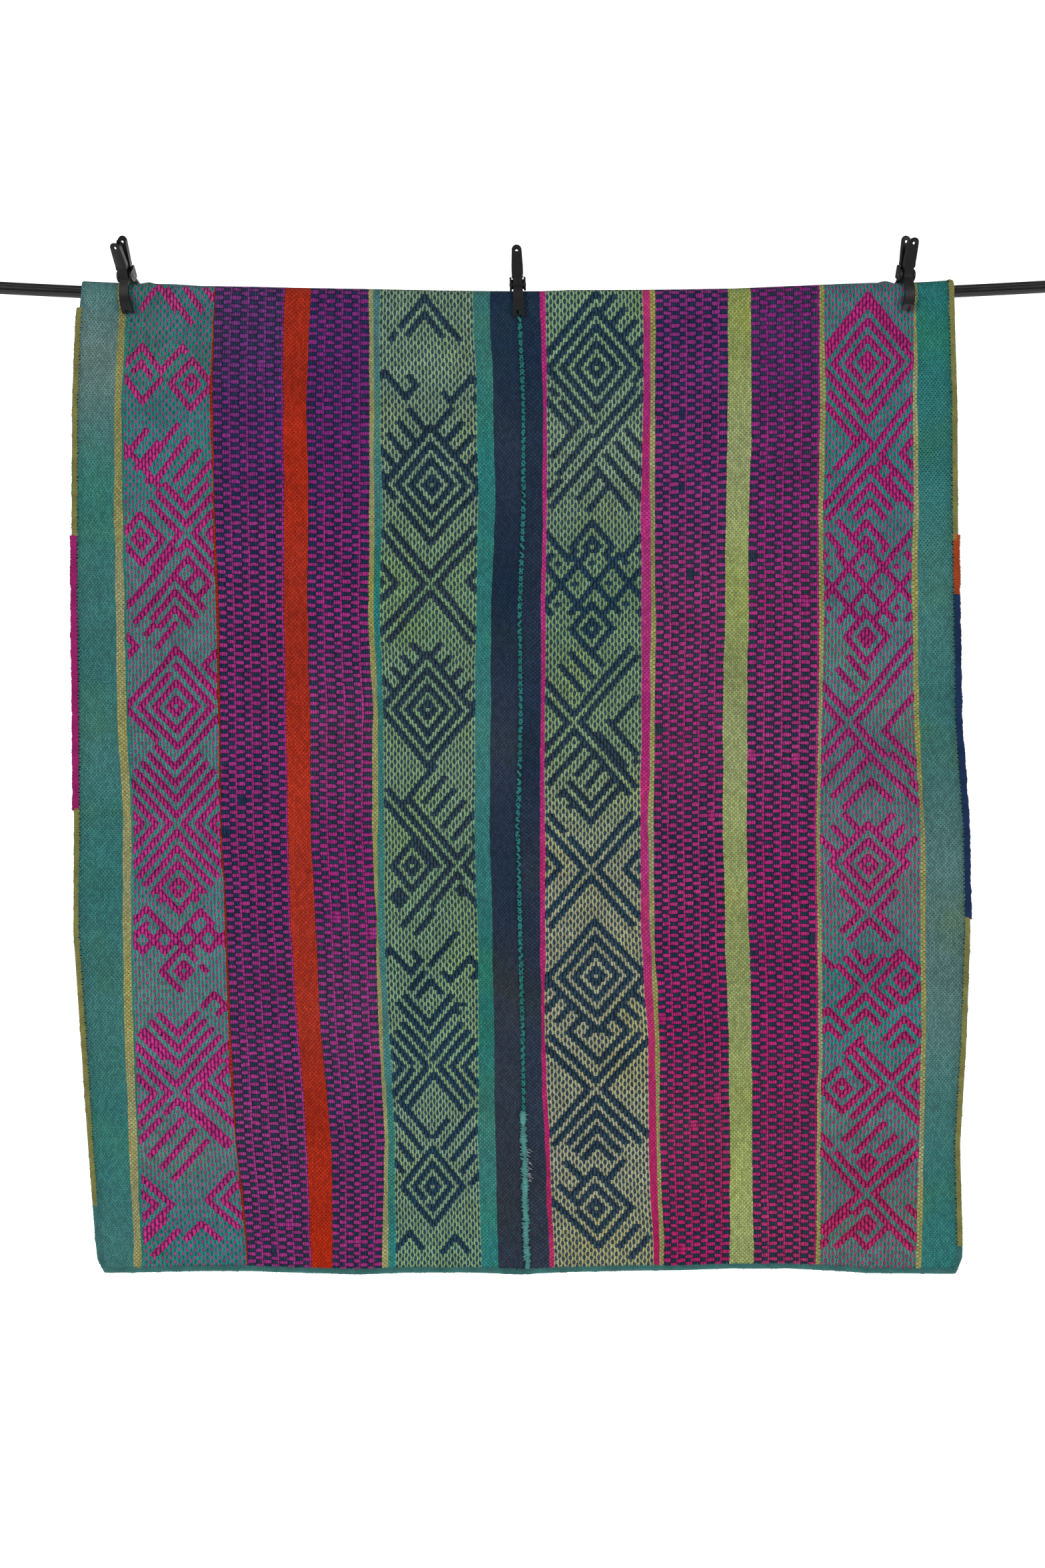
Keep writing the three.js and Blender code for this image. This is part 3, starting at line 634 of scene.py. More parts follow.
    # painted highlight: patches of stray fibres are painted brighter than the shaded yarn, as fuzz that
    # catches the light
    strayHighlight = finish.noise(woolLook["strayHighlight"], 3.0, 0.7).between(0.55, 0.9)
    return finish.close({
        "Base Color": finish.mixed(strayHighlight * 0.35, colour, finish.scaled(yarn, 1.25)),
        "Roughness": woolLook["rough"] + 0.1 * fibre,
        "Normal": finish.bump(height + fibre * 0.25, woolLook["relief"], woolLook["reliefStrength"]),
        **woolSheen,
    })


def cornerFill(filled, free):
    # how much of each corner between cells is filled by the floats that meet there
    def around(cells):
        padded = np.pad(cells.astype(float), 1)
        return padded[:-1, :-1] + padded[:-1, 1:] + padded[1:, :-1] + padded[1:, 1:]

    return around(filled) / np.maximum(around(free), 1)


def panelGrid(panel):
    # where each yarn crossing lies: how far across and how far along the cloth, in millimetres
    side, inset = panel["side"], hanging["inset"]
    counts = [stripe[3] for stripe in panel["stripes"]]
    fractions = np.concatenate([np.arange(count) / count for count in counts] + [[1.0]])
    owner = np.append(np.repeat(np.arange(len(counts)), counts), len(counts) - 1)
    nominal = np.concatenate([hanging["hemLevel"] * (1 - shares), np.zeros(rowCount - frontRows)])
    seamSide = outlineX("seam", nominal) + side * hanging["pieceGap"] / 2
    edge = outlineX("left" if side < 0 else "right", nominal) - side * inset
    inner = [np.interp(nominal, lineLevels, line) + smoothNoise(rowCount + 1, 9, 500 + i + 40 * side)
             for i, line in enumerate(zip(*panel["lines"]))]
    lines = np.array([edge, *inner, seamSide] if side < 0 else [seamSide, *inner, edge])
    across = lines[owner] + (lines[owner + 1] - lines[owner]) * fractions[:, None]
    drop = -(rodHeight(across) - hemHeight(across) - inset)
    beyond = np.tile(np.concatenate([foldTravels, backTravels]), (len(across), 1))
    return across, np.hstack([drop[:, :frontRows + 1] * (1 - shares), beyond])


def panelCells(panel, heights):
    # the weave, yarn and dyes of every cell
    counts, perCell = ([stripe[n] for stripe in panel["stripes"]] for n in (3, 4))
    columns = sum(counts)
    spread = np.repeat(perCell, counts)
    startEnd = np.append(0, np.cumsum(spread))
    corner = np.zeros((columns + 1, rowCount + 1))
    kinds, own, thread = (np.zeros((columns, rowCount)) for _ in range(3))
    ground, figure = (np.zeros((columns, rowCount + 1, 3)) for _ in range(2))
    first = 0
    for i, (groundDye, figureDye, kind, count, _) in enumerate(panel["stripes"]):
        here = slice(first, first + count)
        kinds[here] = kind
        ground[here] = dyeAlong(panel, i, groundDye, heights)
        figure[here] = dyeAlong(panel, i, figureDye, heights)
        if kind == plain:
            thread[here] = openness(panel, i, groundDye, heights[:-1])
        if kind == figured:
            # the ends are numbered so that the shader's own lattice is the chart's
            filled, free = bandChart(panel["name"], i, count)
            startEnd[first:] += startEnd[first] % 2
            own[here] = np.where(free, filled, 0.5)
            thread[here] = panel["dots"] if groundDye == "teal" else weft["dots"]
            corner[first:first + count + 1] = cornerFill(filled, free)
        if kind == checked:
            block, row = np.indices((count, rowCount))
            slip = rng.random((count, rowCount)) < weft["slips"]
            own[here] = (block + row + slip) % 2
            thread[here] = block % 2 == 1
            startEnd[first:] += -startEnd[first] % 4
            tint = 1 + weft["tint"] * (rng.random((count, rowCount + 1, 1)) - 0.5)
            ground[here] *= tint
            figure[here] *= tint
        first += count
    return startEnd, spread, corner, kinds, own, thread, ground, figure


def weavePanel(panel, material):
    side = panel["side"]
    across, travel = panelGrid(panel)
    columns, rows = len(across) - 1, np.arange(rowCount + 1)
    heights = np.minimum(travel, 0)[columns // 2]
    # no two cells beaten quite alike, and rows that climb and dip a little
    shake = rng.uniform(-1, 1, (2,) + across.shape)
    shake[:, [0, -1], :] = 0
    shake[:, :, [0, -1]] = 0
    wander = smoothNoise(columns + 1, 7, 61 + side)[:, None] * smoothNoise(rowCount + 1, 30, 62 + side)
    wander = wander * np.minimum(1, rows[::-1] / weft["rimRows"]) * np.minimum(1, rows / weft["rimRows"])
    across = across + weft["shakeAcross"] * shake[0]
    travel = travel + weft["shakeAlong"] * shake[1] + weft["wander"] * wander
    middle, normal = clothPoint(across, travel), clothNormal(across, travel)
    ripple = smoothNoise(rowCount + 1, 14, 77 + side) * smoothNoise(columns + 1, 12, 78 + side)[:, None]
    calm = np.clip(-(travel + 160) / 200, 0, 1)  # no ripples near the clamps
    middle = middle + normal * (weft["ripple"] * ripple * calm)[..., None]
    half = hanging["thickness"] / 2
    outer, inner = middle + normal * half, middle - normal * half

    index = np.arange(across.size).reshape(across.shape)
    shift = index.size
    points = np.concatenate([outer.reshape(-1, 3), inner.reshape(-1, 3)]) * mm
    a, b, c, d = index[:-1, :-1], index[1:, :-1], index[1:, 1:], index[:-1, 1:]
    front = np.stack([a, b, c, d], -1).reshape(-1, 4)
    back = np.stack([a, d, c, b], -1).reshape(-1, 4) + shift
    rims = [np.stack([line[:-1], line[:-1] + shift, line[1:] + shift, line[1:]], -1)
            for line in (index[0, ::-1], index[-1], index[:, 0], index[::-1, -1])]
    faces = np.concatenate([front, back, *rims])
    piece = shaped(panel["name"], points, faces, material)
    mesh = piece.data

    # yarn positions and colours at every face corner
    startEnd, spread, corner, kinds, own, thread, ground, figure = panelCells(panel, heights)
    column, row = np.divmod(faces.ravel() % shift, rowCount + 1)
    cells = np.arange(columns * rowCount).reshape(columns, rowCount)
    rimCells = np.concatenate([cells[0, ::-1], cells[-1], cells[:, 0], cells[::-1, -1]])
    cell = np.repeat(np.concatenate([cells.ravel(), cells.ravel(), rimCells]), 4)
    cellColumn = cell // rowCount
    u = startEnd[cellColumn] + (column - cellColumn) * spread[cellColumn]
    mapped(mesh, "weave", np.stack([u, row], -1))
    # on the cloth's back the two yarns change places
    isBack = np.repeat([False, True, False], [4 * cells.size, 4 * cells.size, 4 * rimCells.size])
    kind, own, thread = (values.ravel()[cell] for values in (kinds, own, thread))
    swapped = (isBack & (kind > 0))[:, None]
    ground, figure = ground[cellColumn, row], figure[cellColumn, row]
    painted(mesh, "ground", "CORNER", np.where(swapped, figure, ground))
    painted(mesh, "figure", "CORNER", np.where(swapped, ground, figure))
    painted(mesh, "cell", "CORNER", np.stack([kind, own, thread], -1))
    corners = np.tile(corner.ravel(), 2).astype(np.float32)
    mesh.attributes.new("corner", "FLOAT", "POINT").data.foreach_set("value", corners)
    mesh.validate()
    mesh.update()
    return fitted(piece, panel["node"])


wool = clothFinish("wovenWool")
leftCloth = weavePanel(leftPanel, wool)
rightCloth = weavePanel(rightPanel, wool)
print("cloth woven:", len(leftCloth.data.polygons) + len(rightCloth.data.polygons), "faces")


# yarn that is sewn over the edges

yarnLook = {"ply": 2.0, "twists": 260.0, "fibre": 1700.0, "patch": 40.0, "relief": 0.0006, "rough": 0.84}


def yarnFinish(name):
    finish = Finish(name)
    u, v, _ = finish.uv("yarn")
    twist = ((u * yarnLook["ply"] + v * yarnLook["twists"]) * (2 * math.pi)).sine() * 0.5 + 0.5
    fibre = finish.noise(yarnLook["fibre"], 3.0, 0.7)
    patch = finish.noise(yarnLook["patch"], 2.0, 0.6)
    # painted shade: the yarn darkens in the grooves between its twisted plies; fibre and patch vary the
    # tone at random
    shadeAndTone = (0.55 + 0.45 * twist ** 0.6) * (0.78 + 0.44 * fibre) * (0.8 + 0.4 * patch)
    return finish.close({
        "Base Color": finish.scaled(finish.attribute("dye"), shadeAndTone),
        "Roughness": yarnLook["rough"] + 0.12 * fibre,
        "Normal": finish.bump(twist + fibre * 0.3, yarnLook["relief"], 0.8),
        **woolSheen,
    })


def tube(path, reference, radii, sides=5):
    # a yarn along a path; reference points away from what it is wound on
    path, reference = np.asarray(path, float), np.asarray(reference, float)
    tangent = unit(np.gradient(path, axis=0))
    outward = unit(reference - (reference * tangent).sum(1, keepdims=True) * tangent)
    beside = np.cross(tangent, outward)
    angles = (np.arange(sides) * 2 * math.pi / sides)[None, :, None]
    radii = np.broadcast_to(np.asarray(radii, float), (len(path),))[:, None, None]
    ring = np.cos(angles) * outward[:, None] + np.sin(angles) * beside[:, None]
    points = (path[:, None] + ring * radii).reshape(-1, 3)
    i, k = np.indices((len(path) - 1, sides))
    low, top, nextK = i * sides, (i + 1) * sides, (k + 1) % sides
    faces = np.stack([low + k, low + nextK, top + nextK, top + k], -1).reshape(-1, 4)
    length = distanceAlong(path) * mm
    us = np.stack([k, k + 1, k + 1, k], -1).reshape(-1, 4) / sides
    vs = np.stack([length[i], length[i], length[i + 1], length[i + 1]], -1).reshape(-1, 4)
    uv = np.stack([us, vs], -1).reshape(-1, 2)
    last = (len(path) - 1) * sides
    return points, faces, uv, [list(range(sides))[::-1], list(range(last, last + sides))]


def yarnPiece(name, strands, colours, node, slot):
    points, faces, uvs, shades = [], [], [], []
    offset = 0
    for (strandPoints, strandFaces, strandUv, caps), colour in zip(strands, colours):
        points.append(strandPoints)
        faces += (strandFaces + offset).tolist() + [[n + offset for n in cap] for cap in caps]
        uvs += [strandUv, np.zeros((sum(map(len, caps)), 2))]
        shades.append(np.broadcast_to(colour, (len(strandPoints), 3)))
        offset += len(strandPoints)
    piece = shaped(name, np.concatenate(points) * mm, faces, yarn)
    mapped(piece.data, "yarn", np.concatenate(uvs))
    painted(piece.data, "dye", "POINT", np.concatenate(shades))
    return fitted(piece, node)


def sideEdge(side, travels):
    # the inner line of the yarn on a side edge, the way out of the cloth and the cloth's normal
    sign = -1 if side == "left" else 1
    x = np.full(len(travels), outlineX(side, 0))
    for _ in range(3):
        x = outlineX(side, rodHeight(x) + np.minimum(travels, 0)) - sign * hanging["edgeLine"]
    return clothPoint(x, travels), np.tile([sign, 0.0, 0.0], (len(travels), 1)), clothNormal(x, travels)


def lowerEdge(x, travels):
    return clothPoint(x, travels), np.tile([0, 0, -1.0], (len(x), 1)), clothNormal(x, travels)


# in millimetres; a longer stitch reaches into the cloth at each tooth
edging = {
    "yarn": 1.35, "depth": 2.7, "turnPoints": 12, "spacing": 2.55, "toothSpacing": 6.6,
    "toothReach": 3.8, "restReach": 2.4, "width": 6.8, "thickWidth": 9.4, "coreWidth": 2.9,
    "uneven": 0.5, "lumps": 0.75, "slant": 0.9, "shade": 0.14, "station": 6.0,
}


def overcastStrands(stations, width, toothed, seed):
    # a core laid along the edge and one long yarn wound round both
    edge, out, normal = stations
    run = distanceAlong(edge)
    turns = max(int(run[-1] / edging["spacing"]), 2)
    perTurn = edging["turnPoints"]
    at = np.linspace(0, run[-1], turns * perTurn + 1)
    phase = np.arange(len(at)) * 2 * math.pi / perTurn
    outs, normals, base = (np.stack([np.interp(at, run, part[:, i]) for i in range(3)], -1)
                           for part in (out, normal, edge))
    noise = np.random.default_rng(seed)
    turnNo = np.arange(len(at)) / perTurn
    jitter = np.interp(turnNo, np.arange(turns + 2), noise.uniform(-1, 1, turns + 2))
    tooth = 1 - np.abs(((at / edging["toothSpacing"]) % 1) * 2 - 1)
    reach = edging["restReach"] + (edging["toothReach"] - edging["restReach"]) * tooth ** 2.0 * toothed
    reach = reach + edging["uneven"] * jitter
    lumps = smoothNoise(len(at), perTurn * 4, seed + 40)
    far = width - edging["yarn"] + 0.35 * jitter + edging["lumps"] * lumps
    centre, span = (far - reach) / 2, (far + reach) / 2
    depth = edging["depth"] + 0.25 * jitter + 0.35 * lumps
    cosine, sine = np.cos(phase)[:, None], np.sin(phase)[:, None]
    offset = outs * (centre + span * np.cos(phase))[:, None] + normals * (depth * np.sin(phase))[:, None]
    path = base + offset + unit(np.gradient(base, axis=0)) * (edging["slant"] * cosine)
    away = outs * cosine * span[:, None] + normals * sine * span[:, None]
    wound = tube(path, away, edging["yarn"] * (1 + 0.08 * jitter))
    coreEvery = slice(None, None, perTurn // 2)
    core = tube((base + outs * (width * 0.52))[coreEvery], normals[coreEvery], edging["coreWidth"], 6)
    return [wound, core]


def needleHoleShade(stations, seed):
    # dark tubes as painted shade in the pinpricks in the cloth where each long stitch goes down
    run = distanceAlong(stations[0])
    noise = np.random.default_rng(seed)
    holes = []
    for at in np.arange(edging["toothSpacing"] / 2, run[-1], edging["toothSpacing"]):
        at += noise.uniform(-0.8, 0.8)
        base, away, up = (np.array([np.interp(at, run, part[:, i]) for i in range(3)]) for part in stations)
        along = np.array([0, 0, noise.uniform(-0.5, 0.5)])
        reaches = (1.2, 2.6, 4.2 + noise.uniform(-0.8, 1.2))
        ends = [base + up * 2.2 - away * reach + along * reach for reach in reaches]
        holes.append(tube(ends, [up] * 3, np.array([0.75, 0.8, 0.35]) * noise.uniform(0.7, 1.15), 6))
    return holes


def overcast(name, node, slot, stations, dye, seed, shadeSeed, holeSeed=None, thick=False):
    # one length of edge yarn, with dark tubes beside it as the painted shade of needle holes, where they
    # have a seed
    strands = overcastStrands(stations, edging["thickWidth" if thick else "width"], not thick, seed)
    colours = [dye * (1 + edging["shade"] * smoothNoise(len(strand[0]), 300, shadeSeed + i))[:, None]
               for i, strand in enumerate(strands)]
    holes = [] if holeSeed is None else needleHoleShade(stations, holeSeed)
    return yarnPiece(name, strands + holes, colours + [dyes["holeShade"] * 0.3] * len(holes), node, slot)


yarn = yarnFinish("overcastYarn")
# side, colour, from and to height, dye, whether it is the thick yarn
sideEdges = [
    ("left", "olive", -14, -366, "olive", False), ("left", "magenta", -368, -790, "magenta", True),
    ("left", "tan", -792, -1408, "olive", False), ("right", "orange", -367, -457, "coral", True),
    ("right", "navy", -459, -960, "marine", True), ("right", "tan", -962, -1470, "olive", False),
]
step = edging["station"]
edgeYarns = {"left": [], "right": []}
for side, colour, start, stop, dye, thick in sideEdges:
    name, node, slot = f"{side}Edge{colour.title()}", f"{side}_edge_{colour}", f"{colour}_yarn"
    top, seed = rodHeight(outlineX(side, 0)), len(name)
    travels = np.append(np.arange(start + 1.5 - top, stop - top, -step), stop - 2.5 - top)
    stations = sideEdge(side, travels)
    edgeYarns[side].append(overcast(name, node, slot, stations, dyes[dye], seed, 5, seed, thick))

# up the back, over the fold and down the front
foldLength = math.pi * hanging["foldRadius"]
travels = np.concatenate([np.arange(foldLength + 233, foldLength, -step),
                          np.arange(foldLength, 0, -step / 2), np.arange(0, -396, -step)])
stations = sideEdge("right", travels)
rightOlive = overcast("rightEdgeOlive", "right_edge_olive", "olive_yarn", stations, dyes["olive"], 3, 9, 6)
edgeYarns["right"].append(rightOlive)


def hemStations():
    # down one side, round the corner, along the lower edge and up the other side
    leftTravels = np.arange(-1408, -1494, -step) - rodHeight(-660)
    rightTravels = np.arange(-1470, -1494, -step)[::-1] - rodHeight(690)
    left = outlineX("left", -1510) + hanging["inset"]
    right = outlineX("right", -1510) - hanging["inset"]
    x = np.arange(left + 6, right - 6, step)
    travels = -(rodHeight(x) - hemHeight(x) - hanging["inset"]) - 0.5
    lines = [sideEdge("left", leftTravels), lowerEdge(x, travels), sideEdge("right", rightTravels)]
    edge, out, normal = (np.concatenate(part) for part in zip(*lines))
    for _ in range(2):
        out[1:-1] = (out[:-2] + 2 * out[1:-1] + out[2:]) / 4
    return edge, out / np.linalg.norm(out, axis=1, keepdims=True), normal


# painted highlight: the hem yarn's teal is mixed paler for the grazing light along the lower edge
grazingLitTeal = dyes["teal"] * 0.85 + dyes["grey"] * 0.18
hemYarn = overcast("hemYarn", "hem_cord", "teal_yarn", hemStations(), grazingLitTeal, 12, 21)
x = np.arange(outlineX("left", 0) + 12, outlineX("right", 0) - 12, step)
travels = np.full(len(x), foldLength + hanging["backFlap"] - hanging["inset"] + 0.5)
stations = lowerEdge(x, travels)
backHemYarn = overcast("backHemYarn", "back_hem_cord", "teal_yarn", stations, dyes["teal"], 14, 31)
print("edges overcast")


# the seam between the panels, in millimetres

seam = {
    "top": 285, "end": -1511, "core": 1.25, "pitch": 11.8, "yarn": 1.4, "reach": 2.9, "clump": 3.4,
    "mendTop": -1262, "mendEnd": -1494, "mendYarn": 4.1,
    "mendStitches": 70, "mendArch": 3.9, "mendWidth": 5.4,
    "tufts": 80, "paleTufts": 30, "paleFrom": -1372, "paleTo": -1318, "paleFibre": (222, 228, 236),
}


def seamLine(travel, sideways, lift):
    x = outlineX("seam", np.minimum(travel, 0)) + sideways
    normal = clothNormal(x, travel)
    return clothPoint(x, travel) + normal * np.asarray(lift)[:, None], normal


def seamStrands():
    strands, colours = [], []
    rise = hanging["thickness"] / 2
    mendDye = dyes["teal"] * 0.8 + dyes["grey"] * 0.2

    def sew(travel, sideways, lift, radii, sides, colour):
        strands.append(tube(*seamLine(travel, sideways, lift), radii, sides))
        colours.append(colour)

    # the dark yarn that closes the gap between the two edges
    travel = np.append(np.arange(foldLength + seam["top"], -1500, -8.0), seam["end"])
    sew(travel, 0, np.zeros(len(travel)), seam["core"], 6, dyes["navy"] * 0.8)
    # two teal yarns that cross over it to and fro
    for turn in (0, 0.5):
        key = int(turn * 10)
        travel = np.arange(foldLength + (seam["top"] - 5), -1496, -1.1)
        count = len(travel)
        phase = travel / seam["pitch"] + turn + 0.35 * smoothNoise(count, 26, 900 + key)
        swing = np.abs((phase % 1) * 2 - 1) * 2 - 1
        wide = seam["reach"] * (1 + 0.25 * smoothNoise(count, 17, 920 + key))
        lift = rise + seam["yarn"] * (0.75 - 1.3 * np.abs(swing) ** 6) + 0.3 * np.sin(phase * 2 * math.pi)
        clump = (travel / seam["pitch"] + 0.3 * smoothNoise(count, 40, 950)) % 1
        lift = lift - seam["clump"] * np.clip(np.abs(clump * 2 - 1) * 3.2 - 1.9, 0, 1)
        shade = 1.3 + 0.25 * smoothNoise(count * 5, 160, 940 + key)
        sew(travel, swing * wide + 0.5, lift, seam["yarn"], 5, dyes["teal"] * shade[:, None])
    # the thick lumpy mend low down
    travel = np.arange(seam["mendTop"], seam["end"] + 3, -1.3)
    count = len(travel)
    lumps = 0.95 + 0.28 * smoothNoise(count, 6, 960) + 0.12 * smoothNoise(count, 2, 961)
    lumps = lumps + 0.35 * (np.arange(count) < 5)
    shade = 1.55 + 0.3 * smoothNoise(count * 8, 70, 963)
    sew(travel, 1.3 * smoothNoise(count, 12, 962), rise + 0.2 * lumps, seam["mendYarn"] * lumps, 8,
        mendDye * shade[:, None])
    share = np.linspace(-1, 1, 7)
    for _ in range(seam["mendStitches"]):
        at = rng.uniform(seam["mendEnd"], seam["mendTop"])
        travel = at + rng.uniform(-4, 4) * share
        sideways = seam["mendWidth"] * share + rng.uniform(-1, 1)
        arch = rise + seam["mendArch"] * np.sqrt(1.05 - share ** 2) - 0.9
        sew(travel, sideways, arch, rng.uniform(0.8, 1.5), 5, mendDye * rng.uniform(1.3, 1.9))
    # loose pale fibres beside it and a few teal ones higher up
    share = np.linspace(0, 1, 7)
    for tuft in range(seam["tufts"]):
        pale = tuft < seam["paleTufts"]
        at = rng.uniform(seam["paleFrom"], seam["paleTo"]) if pale else rng.uniform(-1400, -60)
        reach, drop = rng.uniform(2.5, 7.5), rng.uniform(-3.5, 3.5)
        start = rng.uniform(1, 8) if pale else rng.uniform(-3, 3)
        bend = 1.6 * np.sin(share * rng.uniform(3, 7))
        colour = linear(seam["paleFibre"]) * rng.uniform(0.7, 1.2) if pale else dyes["teal"] * 1.6
        sew(at + drop * share + bend, start + reach * share, rise + 0.2 + 1.6 * np.sin(share * 2.4),
            0.38 if pale else 0.2, 3, colour)
    return strands, colours


seamStitches = yarnPiece("seamStitches", *seamStrands(), None, "teal_yarn")
print("seam sewn")


# rod and clamps: colours as light values, noise sizes per metre, bevels in metres

clampLook = {
    # the lighter grey is the painted highlight on sharp edges and the wear on scuffs
    "black": (0.0085, 0.0078, 0.0082, 1), "scuffAndEdgeHighlight": (0.06, 0.056, 0.057, 1), "rough": 0.3, "bevel": 0.0005,
    "pin": (0.16, 0.16, 0.17), "pinRough": 0.3, "pinBevel": 0.0003,
    "spring": (0.5, 0.5, 0.52), "springRough": 0.25,
}
rodLook = {
    "black": (0.004, 0.004, 0.005, 1), "streak": (0.012, 0.012, 0.014, 1), "rough": 0.12,
    "sections": 120, "sides": 40, "chamfer": 0.8,
}


def blackPlastic():
    finish = Finish("clampPlastic")
    grain = finish.noise(900.0, 3.0, 0.6)
    scuff = finish.noise(120.0, 4.0, 0.7)
    # painted highlight: sharp edges, found by pointiness, are painted lighter grey as rim highlights; the
    # scuff noise adds a little real wear
    greyShare = finish.node("NewGeometry", out="Pointiness").between(0.56, 0.64)
    scuffAndEdgeHighlight = (greyShare * 0.6 + scuff.between(0.6, 0.85) * 0.15).atMost(1)
    return finish.close({
        "Base Color": finish.mixed(scuffAndEdgeHighlight, clampLook["black"], clampLook["scuffAndEdgeHighlight"]),
        "Roughness": clampLook["rough"] + 0.25 * scuff,
        "Normal": finish.bump(grain, 0.00008, 0.35), "Specular IOR Level": 0.24,
    })


def paintedRod():
    finish = Finish("rodBlack")
    x, y, z = finish.parts(finish.place)
    stretched = finish.node("CombineXYZ", None, {0: x * 0.06, 1: y, 2: z})
    streak = finish.noise(900.0, 3.0, 0.6, stretched)
    peel = finish.noise(220.0, 2.0, 0.5)
    return finish.close({
        "Base Color": finish.mixed(streak.between(0.5, 0.9), rodLook["black"], rodLook["streak"]),
        "Roughness": rodLook["rough"] + 0.18 * streak,
        "Normal": finish.bump(peel, 0.00008, 0.3), "Specular IOR Level": 0.4,
    })


def steel(name, base, rough):
    finish = Finish(name)
    grain = finish.noise(1400.0, 3.0, 0.6)
    colour = finish.mixed(grain.between(0.3, 0.8), (*base, 1), tuple(0.6 * part for part in base) + (1,))
    return finish.close({
        "Base Color": colour, "Metallic": 1.0, "Roughness": rough + 0.2 * grain,
        "Normal": finish.bump(grain, 0.00006, 0.5),
    })


def roundedCopy(node, name, material, slot, bevel):
    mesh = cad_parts[node].data.copy()
    mesh.materials.clear()
    mesh.materials.append(material)
    shape = bmesh.new()
    shape.from_mesh(mesh)
    bmesh.ops.remove_doubles(shape, verts=shape.verts, dist=1e-6)
    bmesh.ops.dissolve_limit(shape, angle_limit=math.radians(1), verts=shape.verts, edges=shape.edges)
    for face in shape.faces:
        face.smooth = True
    shape.to_mesh(mesh)
    shape.free()
    piece = added(name, mesh)
    if bevel:
        edge = piece.modifiers.new("softEdges", "BEVEL")
        edge.width, edge.segments = bevel, 2
        edge.limit_method, edge.angle_limit = "ANGLE", math.radians(28)
        edge.harden_normals = False
    piece.modifiers.new("evenNormals", "WEIGHTED_NORMAL").keep_sharp = True
    fitted(piece, node)


plasticFinish, rodFinish = blackPlastic(), paintedRod()
pinFinish = steel("clampPin", clampLook["pin"], clampLook["pinRough"])
springFinish = steel("springSteel", clampLook["spring"], clampLook["springRough"])
lever = (plasticFinish, "clamp_plastic", clampLook["bevel"])
clampParts = {
    "front": lever, "back": lever, "pin": (pinFinish, "clamp_pin", clampLook["pinBevel"]),
    "spring": (springFinish, "spring_steel", 0),
}
for place in clampPlaces:
    for part, look in clampParts.items():
        roundedCopy(f"clamp_{place}_{part}", f"{place}Clamp{part.title()}", *look)

chamfer = rodLook["chamfer"]
x = np.linspace(-hanging["rodHalfSpan"], hanging["rodHalfSpan"], rodLook["sections"])
x = np.concatenate([[x[0], x[0] + chamfer], x[1:-1], [x[-1] - chamfer, x[-1]]])
radii = np.full(len(x), hanging["rodRadius"])
radii[[0, -1]] -= chamfer
rodPath = np.stack([x, np.zeros_like(x), rodHeight(x)], -1)
rodPoints, rodFaces, _, rodCaps = tube(rodPath, np.tile([0, 0, 1.0], (len(x), 1)), radii, rodLook["sides"])
rodBar = shaped("rodBar", rodPoints * mm, rodFaces.tolist() + rodCaps, rodFinish)
for polygon in list(rodBar.data.polygons)[-2:]:
    polygon.use_smooth = False
fitted(rodBar, "rod")
print("rod and clamps in place")

edgeYarns["left"] + [hemYarn]
edgeYarns["right"] + [backHemYarn, seamStitches]


# floor, light and camera, in metres

studio = {
    "floor": -2.03, "inner": 2.6, "wall": 11.0, "curve": 4.0, "height": 14.0, "sides": 96,
    "pale": (0.93, 0.95), "glow": (0.55, 0.96), "glowFrom": 2.2, "glowTo": 4.5, "worldStrength": 0.3,
}


def stageFinish():
    finish = Finish("paleStage")
    pale, glow = ([(grey, grey, grey, 1) for grey in studio[key]] for key in ("pale", "glow"))
    away = finish.node("VectorMath", {"operation": "LENGTH"}, {0: finish.place}, out="Value")
    return finish.close({
        "Base Color": finish.mixed(finish.noise(3.0, 2.0, 0.5), *pale),
        "Roughness": 0.9, "Specular IOR Level": 0.1, "Emission Strength": 1.0,
        "Emission Color": finish.mixed(away.between(studio["glowFrom"], studio["glowTo"]), *glow),
    })


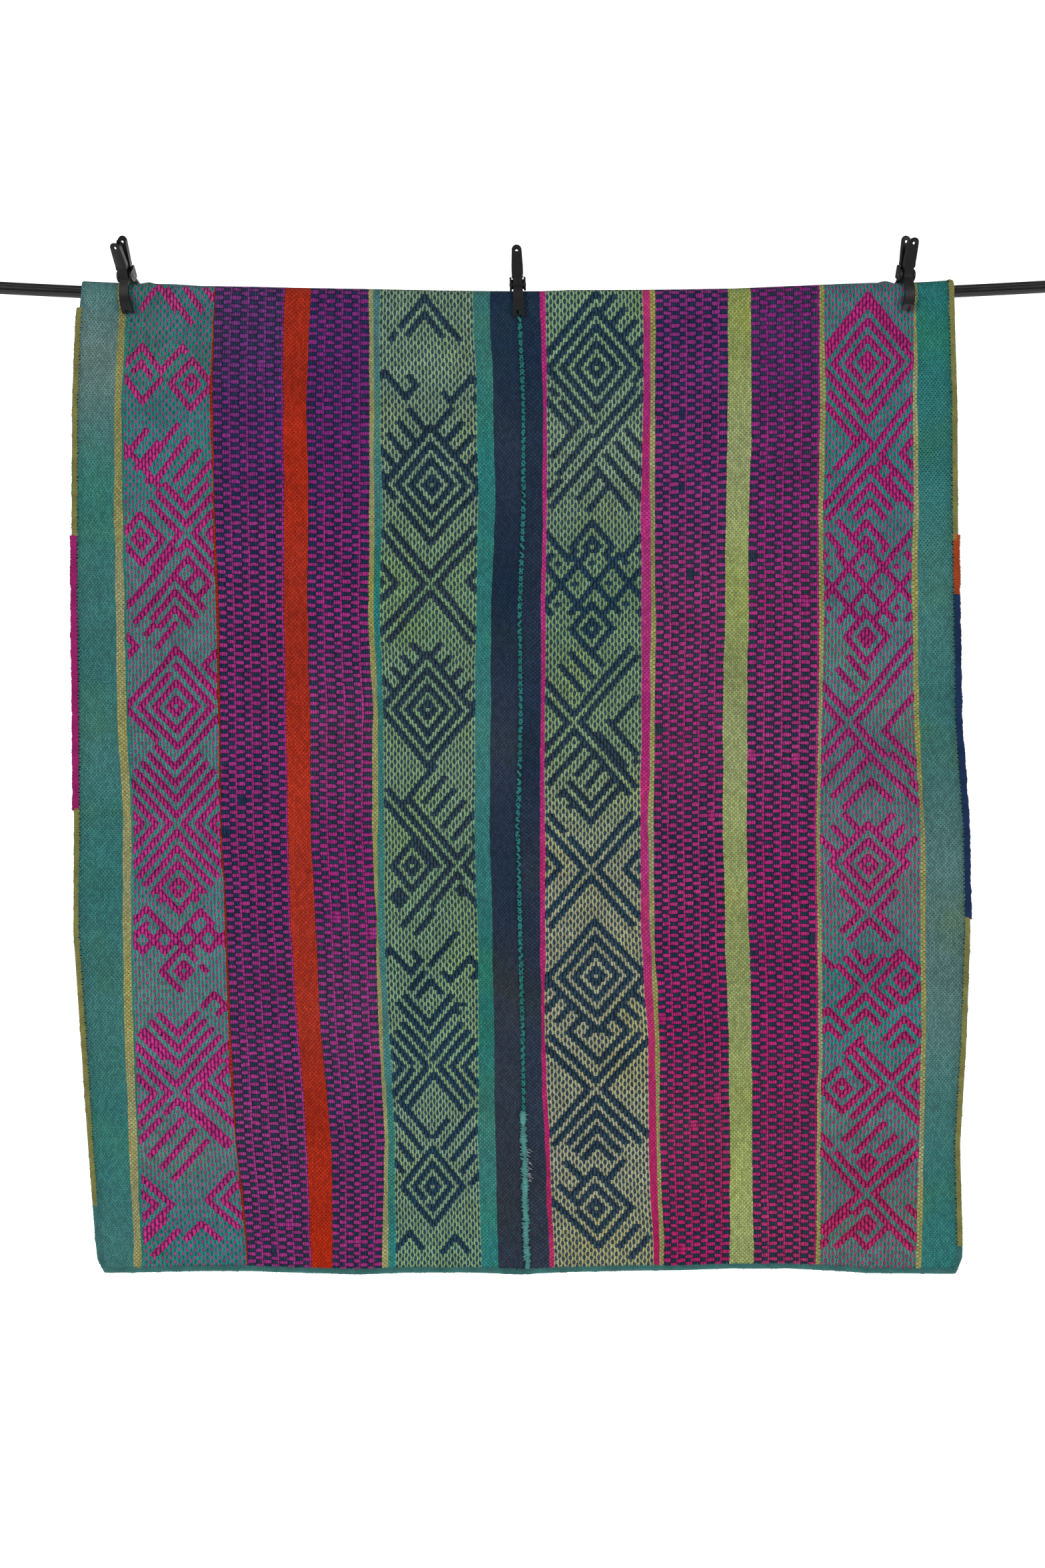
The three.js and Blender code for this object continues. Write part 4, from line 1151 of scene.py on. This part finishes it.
def studioRing(name, profile):
    # a round sheet of the pale stage, swept from its profile of radius and height
    sides, points, faces = studio["sides"], [], []
    turns = [2 * math.pi * i / sides for i in range(sides)]
    for radius, z in profile:
        points += [(radius * math.cos(turn), radius * math.sin(turn), z) for turn in turns]
    for level in range(len(profile) - 1):
        low, top = level * sides, (level + 1) * sides
        faces += [(low + i, top + i, top + (i + 1) % sides, low + (i + 1) % sides) for i in range(sides)]
    if profile[0][0] < 1:
        faces.append(tuple(range(sides)))  # the floor's middle
    ring = shaped(name, points, faces, paleStage)
    return ring


paleStage = stageFinish()
floor, inner, wall, curve = (studio[key] for key in ("floor", "inner", "wall", "curve"))
studioRing("studioFloor", [(0.5, floor), (inner, floor)])
cove = [(wall - curve + curve * math.sin(angle), floor + curve * (1 - math.cos(angle)))
        for angle in np.linspace(0, math.pi / 2, 17)]
studioWall = studioRing("studioWall", [(inner, floor)] + cove + [(wall, studio["height"])])
studioWall.visible_diffuse = studioWall.visible_glossy = False  # seen, but adds no light

# place, aim, width and height in metres, power in watts
lamps = {
    "keyLight": ((-2.6, -3.6, 0.6), (0, 0, -0.7), (1.2, 2.4), 72),
    "fillLight": ((2.6, -3.6, 0.4), (0, 0, -0.7), (1.2, 2.4), 62),
    "topLight": ((0, -1.6, 2.4), (0, 0, -0.4), (3.0, 0.8), 12),
    "backLight": ((0.8, 3.8, 0.8), (0, 0, -0.4), (2.4, 1.6), 60),
}
for name, (place, aim, size, power) in lamps.items():
    light = bpy.data.lights.new(name, "AREA")
    light.shape = "RECTANGLE"
    light.size, light.size_y = size
    light.energy = power
    lamp = added(name, light)
    lamp.location = place
    lamp.rotation_euler = (Vector(aim) - Vector(place)).to_track_quat("-Z", "Y").to_euler()

world = bpy.data.worlds.new("paleRoom")
world.use_nodes = True
world.node_tree.nodes["Background"].inputs["Color"].default_value = (1, 1, 1, 1)
world.node_tree.nodes["Background"].inputs["Strength"].default_value = studio["worldStrength"]
bpy.context.scene.world = world
bpy.context.scene.view_settings.view_transform = "Standard"

photoView = {"lens": 50, "sensor": 36, "place": (0, -3.4, -0.7528), "turn": (math.pi / 2, 0, 0)}
camera = bpy.data.cameras.new("photoCamera")
camera.lens, camera.sensor_width = photoView["lens"], photoView["sensor"]
photoCamera = added("photoCamera", camera)
photoCamera.location, photoCamera.rotation_euler = photoView["place"], photoView["turn"]
bpy.context.scene.camera = photoCamera
print("studio set")
